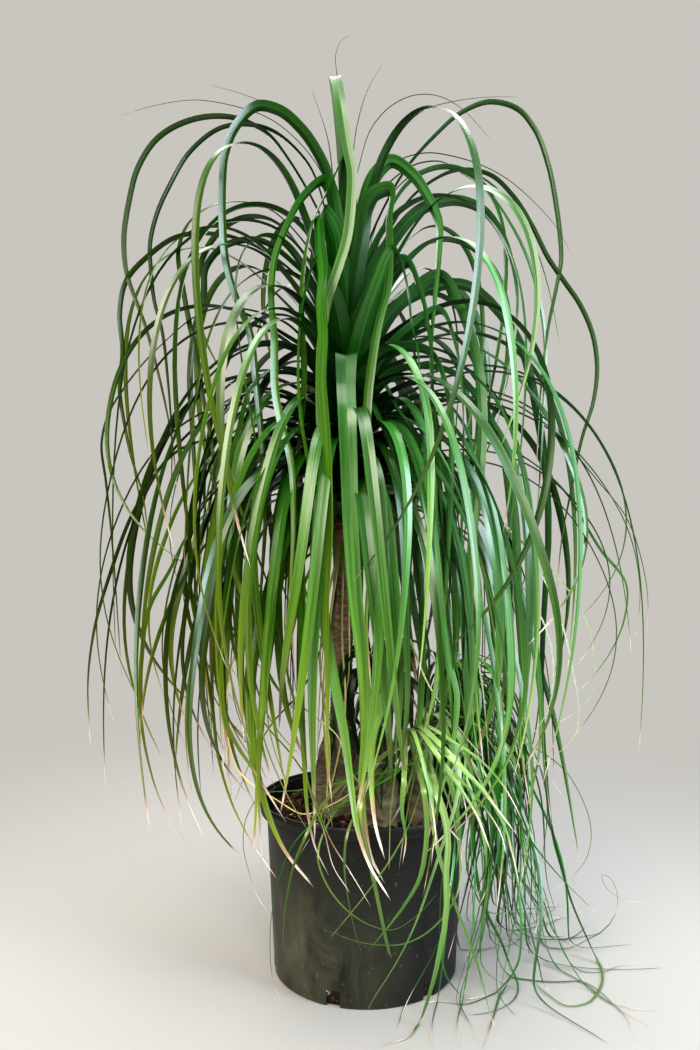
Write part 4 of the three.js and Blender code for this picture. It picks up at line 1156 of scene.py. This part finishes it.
# The fine leaves that fall beside the pot and lie in loops on the floor.
FOURTH_LEAVES = [
    Drawn([(447, 716, 18), (470, 712), (488, 760), (495, 869, -60), (504, 903), (521, 932), (521, 947),
           (512, 974, -70), (495, 993, DOWN), (464, 1004, DOWN), (437, 1001, DOWN), (414, 1008, DOWN)],
          5, -80),
    Drawn([(447, 716, 18), (500, 720), (528, 800), (538, 880, 60), (539, 936, DOWN), (548, 947, DOWN),
           (564, 949, DOWN), (587, 940, 50), (608, 926, 70), (617, 909, 90), (617, 892), (610, 878),
           (602, 875, 110), (604, 884), (617, 897), (631, 902), (646, 902, 90)], 3.0, -60),
    Drawn([(447, 716, 18), (480, 720), (500, 840), (514, 978, DOWN), (552, 982, DOWN), (583, 982, DOWN),
           (602, 993, DOWN), (615, 1006, DOWN), (652, 1028, DOWN)], 4, -60),
    Drawn([(447, 716, 18), (484, 730), (530, 860), (560, 970, DOWN), (587, 985, DOWN), (610, 1003, DOWN),
           (629, 1008, DOWN), (661, 1011, DOWN)], 3.5, -60),
    Drawn([(447, 716, 18), (480, 730), (540, 900), (590, 990, DOWN), (615, 1006, DOWN), (629, 1022, DOWN),
           (635, 1042, DOWN)], 3, -60),
    Drawn([(447, 716, 18), (476, 730), (512, 850), (521, 936, -80), (519, 959), (502, 993, DOWN),
           (495, 1012, DOWN), (482, 1050, DOWN)], 5.5, -70),
    Drawn([(447, 716, 18), (468, 760), (458, 860, 0), (456, 932), (462, 950, DOWN), (487, 949, DOWN),
           (514, 936, DOWN)], 4, -60),
    Drawn([(447, 716, 18), (462, 780), (450, 900, -110), (443, 964, -120), (451, 984), (470, 999, DOWN),
           (495, 993, DOWN)], 4, -70),
    Drawn([(447, 716, 18), (456, 800), (446, 930, -130), (437, 1003, DOWN), (432, 1024, DOWN),
           (432, 1048, DOWN)], 3, -70),
    Drawn([(447, 716, 18), (470, 800), (472, 930, -80), (462, 1004, DOWN), (457, 1022, DOWN),
           (460, 1048, DOWN)], 3, -70),
    Drawn([(447, 716, 18), (474, 800), (480, 930, -60), (460, 1004, DOWN), (470, 1024, DOWN),
           (480, 1047, DOWN)], 2.6, -70),
    Drawn([(447, 716, 18), (500, 730), (520, 820, 0), (529, 888), (544, 899), (560, 911), (561, 917),
           (550, 916, 20)], 2.8, -60),
    Drawn([(447, 716, 18), (470, 780), (470, 880, 0), (487, 911, 0), (525, 909), (588, 905, 60)], 2.6, -60),
    Drawn([(447, 716, 18), (520, 740), (572, 780, 60), (591, 840), (587, 857), (571, 878), (546, 895, 20)],
          2.4, -60),
    Drawn([(447, 716, 18), (480, 760), (488, 900, 0), (478, 953, DOWN), (470, 970, DOWN), (460, 978, DOWN)],
          4, -60),
    Drawn([(447, 716, 18), (490, 740), (540, 880, 20), (585, 972, DOWN), (602, 972, DOWN), (619, 966, DOWN),
           (649, 962, DOWN)], 3, -60),
    Drawn([(447, 716, 18), (420, 760, -120), (300, 790), (259, 797, -140), (247, 816), (243, 841), (249, 873),
           (257, 896), (269, 914, -150)], 2.6, -90),
    Drawn([(447, 716, 18), (400, 770, -120), (290, 850), (272, 912, -150), (270, 942), (272, 975), (284, 1011,
           DOWN)], 2.6, -90),
]


def crown_leaf(tier, i):
    """A leaf of the crown by rule: the golden angle round the stem, from the lowest to the highest."""
    series = tier.series
    up = (i + 0.5) / tier.leaves
    outward = draw(series + 1, i) ** 0.8
    turn = i * GOLDEN_ANGLE / 360 % 1
    azimuth = tier.middle + tier.spread * (turn - 0.5) + lerp(-9, 9, draw(series + 13, i))
    rightward = math.cos(math.radians(azimuth - 20))
    return Leaf(
        azimuth,
        root=lerp(*tier.root, up),
        reach=lerp(lerp(*tier.near, up), lerp(*tier.far, up), outward),
        rise=lerp(*tier.rise, up) * lerp(0.66, 1, outward) * lerp(0.72, 1.06, draw(series + 3, i)),
        snap=lerp(*tier.snap, up) * lerp(0.75, 1.35, draw(series + 7, i)),
        hang=lerp(*tier.hang, draw(series + 2, i)),
        tip=lerp(lerp(*tier.low_tip, up), lerp(*tier.high_tip, up), draw(series + 4, i)) - 30 * rightward,
        width=lerp(*tier.width, draw(series + 6, i)),
        lean=lerp(-0.3, 0.3, draw(series + 5, i)),
        sway=lerp(0, 0.05, draw(series + 8, i)),
        twist=lerp(-tier.twist, tier.twist, draw(series + 9, i)),
        tuck=lerp(0, 50, draw(series + 12, i)),
        dry=lerp(20, 90, draw(series + 10, i)),
        tone=lerp(*tier.tone, draw(series + 11, i)),
    )


def crown_root(leaf):
    """Where a leaf leaves the stem, sunk a little way in."""
    radius = ramp([(STEM_TAPER, STEM_RADIUS), (STEM_TOP, 6)], leaf.root) - 3
    azimuth = math.radians(leaf.azimuth)
    return (STEM[0] + radius * math.cos(azimuth), STEM[1] + radius * math.sin(azimuth), leaf.root)


def make_crown():
    """All the tall plant's leaves: the drawn ones, the storeys by rule, and the dry threads."""
    drawn = drawn_lines(SIDE_LEAVES + FRONT_LEAVES)
    make_blades("front_crown_leaves", drawn, LEAF_GREEN, "crown_leaves", count=64)
    leaves = list(OUTLINE_LEAVES)
    for tier in (ROSETTE, SKIRT, CURTAIN, FAN):
        ruled = [crown_leaf(tier, i) for i in range(tier.leaves)]
        leaves += [leaf for leaf in ruled
                   if abs((leaf.azimuth - FRONT + 180) % 360 - 180) > tier.window]
    lines = [(leaf, clear_of_pot(leaf_line(leaf, crown_root(leaf)))) for leaf in leaves]
    for name, low, high in STOREYS:
        chosen = [pair for pair in lines if low <= pair[0].root < high]
        make_blades(name + "_crown_leaves", chosen, LEAF_GREEN, "crown_leaves")
    withered = drawn_lines(CROWN_THREADS)
    make_blades("withered_crown_leaves", withered, WITHERED, "crown_leaves", FINE, 48, 0.8)
    bleached = drawn_lines(PALE_THREADS)
    make_blades("bleached_crown_leaves", bleached, BLEACHED, "crown_leaves", FINE, 40, 0.8)


def make_crown_stem():
    """The leafy stem, ringed by the leaf bases that clasp it."""
    profile = [(0, TRUNK.neck[2] + 2)]
    z = TRUNK.neck[2] + 2
    i = 0
    while z < STEM_TOP:
        radius = ramp([(590, 15), (STEM_TAPER, STEM_RADIUS), (STEM_TOP, 5)], z) + 0.8 * draw(41, i)
        profile.append((radius, z))
        profile.append((radius - 1.4, z + 2.4))
        z += lerp(*CLASP_GAP, draw(42, i))
        i += 1
    profile.append((0, STEM_TOP + 2))

    def place(p):
        return Vector((p.x + STEM[0], p.y + STEM[1], p.z))

    piece = turned(profile, 32, "crown_stem", LEAF_GREEN, ["crown_leaves"], move=place)
    mark_evenly(piece, across=0.2, share=0.1, to_tip=500, tone=0.1, cool=0.5, dry=0)


# ---- young plants ----

@dataclass
class YoungLeaves:
    """A young plant's stem and leaves: how many, towards what azimuth and over what spread. Each
    pair goes from its least to its most."""
    node: str
    foot: Foot
    stem: float
    leaves: int
    middle: float
    spread: float
    reach: tuple
    rise: tuple
    length: tuple
    width: tuple
    series: int
    tone: tuple = (0.0, 1.0)


YOUNG = [
    YoungLeaves("second_leaves", FEET[0], 26, 34, -10, 330, (35, 95), (50, 115), (150, 260), (6, 11), 20),
    YoungLeaves("third_leaves", FEET[1], 26, 30, -20, 150, (40, 140), (8, 42), (150, 400), (3.4, 6.5), 30,
                (0.35, 1.0)),
    YoungLeaves("fourth_leaves", FEET[2], 30, 130, 2, 210, (20, 115), (10, 70), (240, 560), (2.4, 6.5), 40),
]


def young_leaf(plant, i):
    """A leaf of a young plant by rule, as in the crown."""
    series = plant.series
    up = (i + 0.5) / plant.leaves
    turn = (i * GOLDEN_ANGLE / 360) % 1
    outward = draw(series, i)
    return Leaf(
        plant.middle + plant.spread * (turn - 0.5),
        root=plant.foot.neck[2] + lerp(3, plant.stem * 0.72, up),
        reach=lerp(*plant.reach, outward),
        rise=lerp(*plant.rise, up) * lerp(0.7, 1, outward),
        snap=lerp(2.4, 4.0, draw(series + 7, i)),
        length=lerp(*plant.length, draw(series + 1, i)),
        width=lerp(*plant.width, draw(series + 4, i)),
        hang=lerp(-76, -102, draw(series + 10, i)),
        lean=lerp(-1.0, 1.0, draw(series + 2, i)),
        sway=lerp(0.05, 0.34, draw(series + 5, i)),
        curl=lerp(-1.1, 1.1, draw(series + 3, i)),
        twist=lerp(-120, 120, draw(series + 6, i)),
        dry=lerp(0, 40, draw(series + 8, i) ** 2),
        tone=lerp(*plant.tone, draw(series + 9, i)),
    )


def make_young(plant, drawn, material, across, count):
    """A young plant's leaves, drawn and by rule, and the short stem that they grow from."""
    neck = plant.foot.neck
    radius = plant.foot.neck_radius
    lines = drawn_lines(drawn)
    for i in range(plant.leaves):
        leaf = young_leaf(plant, i)
        azimuth = math.radians(leaf.azimuth)
        x = neck[0] + (radius - 3) * math.cos(azimuth)
        y = neck[1] + (radius - 3) * math.sin(azimuth)
        lines.append((leaf, clear_of_pot(leaf_line(leaf, (x, y, leaf.root)))))
    make_blades(plant.node + "_blades", lines, material, plant.node, across, count, 0.8)
    top = neck[2] + plant.stem
    profile = [(0, neck[2] - 1), (radius, neck[2] - 1), (radius, lerp(neck[2], top, 0.7)),
               (radius * 0.3, top), (0, top + 1)]
    stem = turned(profile, 20, plant.node + "_stem", material, [plant.node],
                  move=lambda p: Vector((p.x + neck[0], p.y + neck[1], p.z)))
    mark_evenly(stem, across=0.2, share=0.05, to_tip=300, tone=0.4, cool=0.5, dry=0)


# ---- stage, light and camera ----

FILL_LIGHT = 0.12  # how bright the backdrop is as a light, beside how bright it looks

# In metres: half the floor's width, how far from the pot's axis it begins to fade and is gone, and
# the point that the lights are turned to.
FLOOR_HALF = 3.0
FADE_FROM = 0.45
FADE_TO = 1.6
PLANT_MIDDLE = Vector((0, 0, 0.6))


def make_floor():
    """A pale floor that fades into the backdrop's grey with distance from the plant."""
    material, tree, shader = new_material("pale_studio_floor")
    shader.inputs["Base Color"].default_value = linear("#9c9a96")
    shader.inputs["Roughness"].default_value = 0.8
    place = add_node(tree, "TexCoord").outputs["Object"]
    distance = add_node(tree, "VectorMath", {0: place}, operation="LENGTH").outputs["Value"]
    there = add_node(tree, "MapRange", {"Value": distance, "From Min": FADE_TO,
                                        "From Max": FADE_FROM},
                     interpolation_type="SMOOTHSTEP").outputs[0]
    tree.links.new(there, shader.inputs["Alpha"])
    mesh = bpy.data.meshes.new("studio_floor")
    corners = [(x * FLOOR_HALF, y * FLOOR_HALF, 0) for x, y in ((-1, -1), (1, -1), (1, 1), (-1, 1))]
    mesh.from_pydata(corners, [], [(0, 1, 2, 3)])
    mesh.materials.append(material)
    floor = bpy.data.objects.new("studio_floor", mesh)
    bpy.context.scene.collection.objects.link(floor)


def make_light(name, at, size, power, colour, mirrored=True):
    """A softbox turned to the middle of the plant; one that isn't mirrored shows in no sheen."""
    data = bpy.data.lights.new(name, "AREA")
    data.shape = "RECTANGLE"
    data.size, data.size_y = size
    data.energy = power
    data.color = linear(colour)[:3]
    lamp = bpy.data.objects.new(name, data)
    lamp.location = at
    lamp.visible_glossy = mirrored
    lamp.rotation_euler = (PLANT_MIDDLE - Vector(at)).to_track_quat("-Z", "Y").to_euler()
    bpy.context.scene.collection.objects.link(lamp)


def make_lights():
    """A warm key from the left, a cool light from the right, soft fills, and a grey backdrop."""
    make_light("key_softbox", (-1.4, -2.3, 2.6), (2.2, 2.2), 146, "#fff6ea")
    make_light("front_softbox", (0.1, -2.6, 1.8), (2.0, 1.2), 70, "#ffffff", mirrored=False)
    make_light("window_softbox", (2.0, -1.3, 1.4), (1.0, 2.0), 88, "#dceeff")
    make_light("top_softbox", (0.0, 0.3, 3.0), (2.0, 2.0), 80, "#ffffff")
    make_light("back_softbox", (-0.6, 2.6, 1.8), (2.4, 1.8), 32, "#ffffff")
    world = bpy.data.worlds.new("studio")
    world.use_nodes = True
    tree = world.node_tree
    looked_at = add_node(tree, "LightPath").outputs["Is Camera Ray"]
    strength = add_node(tree, "MapRange", {"Value": looked_at, "To Min": FILL_LIGHT,
                                           "To Max": 1.0}).outputs[0]
    background = tree.nodes["Background"]
    background.inputs["Color"].default_value = linear("#bdbab5")
    tree.links.new(strength, background.inputs["Strength"])
    bpy.context.scene.world = world


def make_camera():
    """A level camera at the front; its shift puts the horizon on its row of the picture."""
    data = bpy.data.cameras.new("camera")
    data.sensor_fit = "VERTICAL"
    data.sensor_height = 36
    data.lens = FOCAL / PICTURE[1] * data.sensor_height
    data.shift_y = (HORIZON - PICTURE[1] / 2) / PICTURE[1]
    data.dof.use_dof = False
    camera = bpy.data.objects.new("camera", data)
    camera.location = Vector(CAMERA_AT) * MM
    camera.rotation_euler = (math.radians(90), 0, 0)
    bpy.context.scene.collection.objects.link(camera)
    bpy.context.scene.camera = camera
    bpy.context.scene.view_settings.view_transform = "Standard"
    bpy.context.scene.view_settings.look = "Medium High Contrast"


make_floor()
make_lights()
make_camera()
make_pot()
make_soil()
make_chips()
make_trunk()
for foot in FEET:
    make_foot(foot)
make_crown_stem()
make_crown()
make_young(YOUNG[0], SECOND_LEAVES, YOUNG_DARK, BROAD, 24)
make_young(YOUNG[1], THIRD_LEAVES, YOUNG_PALE, BROAD, 38)
make_young(YOUNG[2], FOURTH_LEAVES, YOUNG_FINE, FINE, 44)
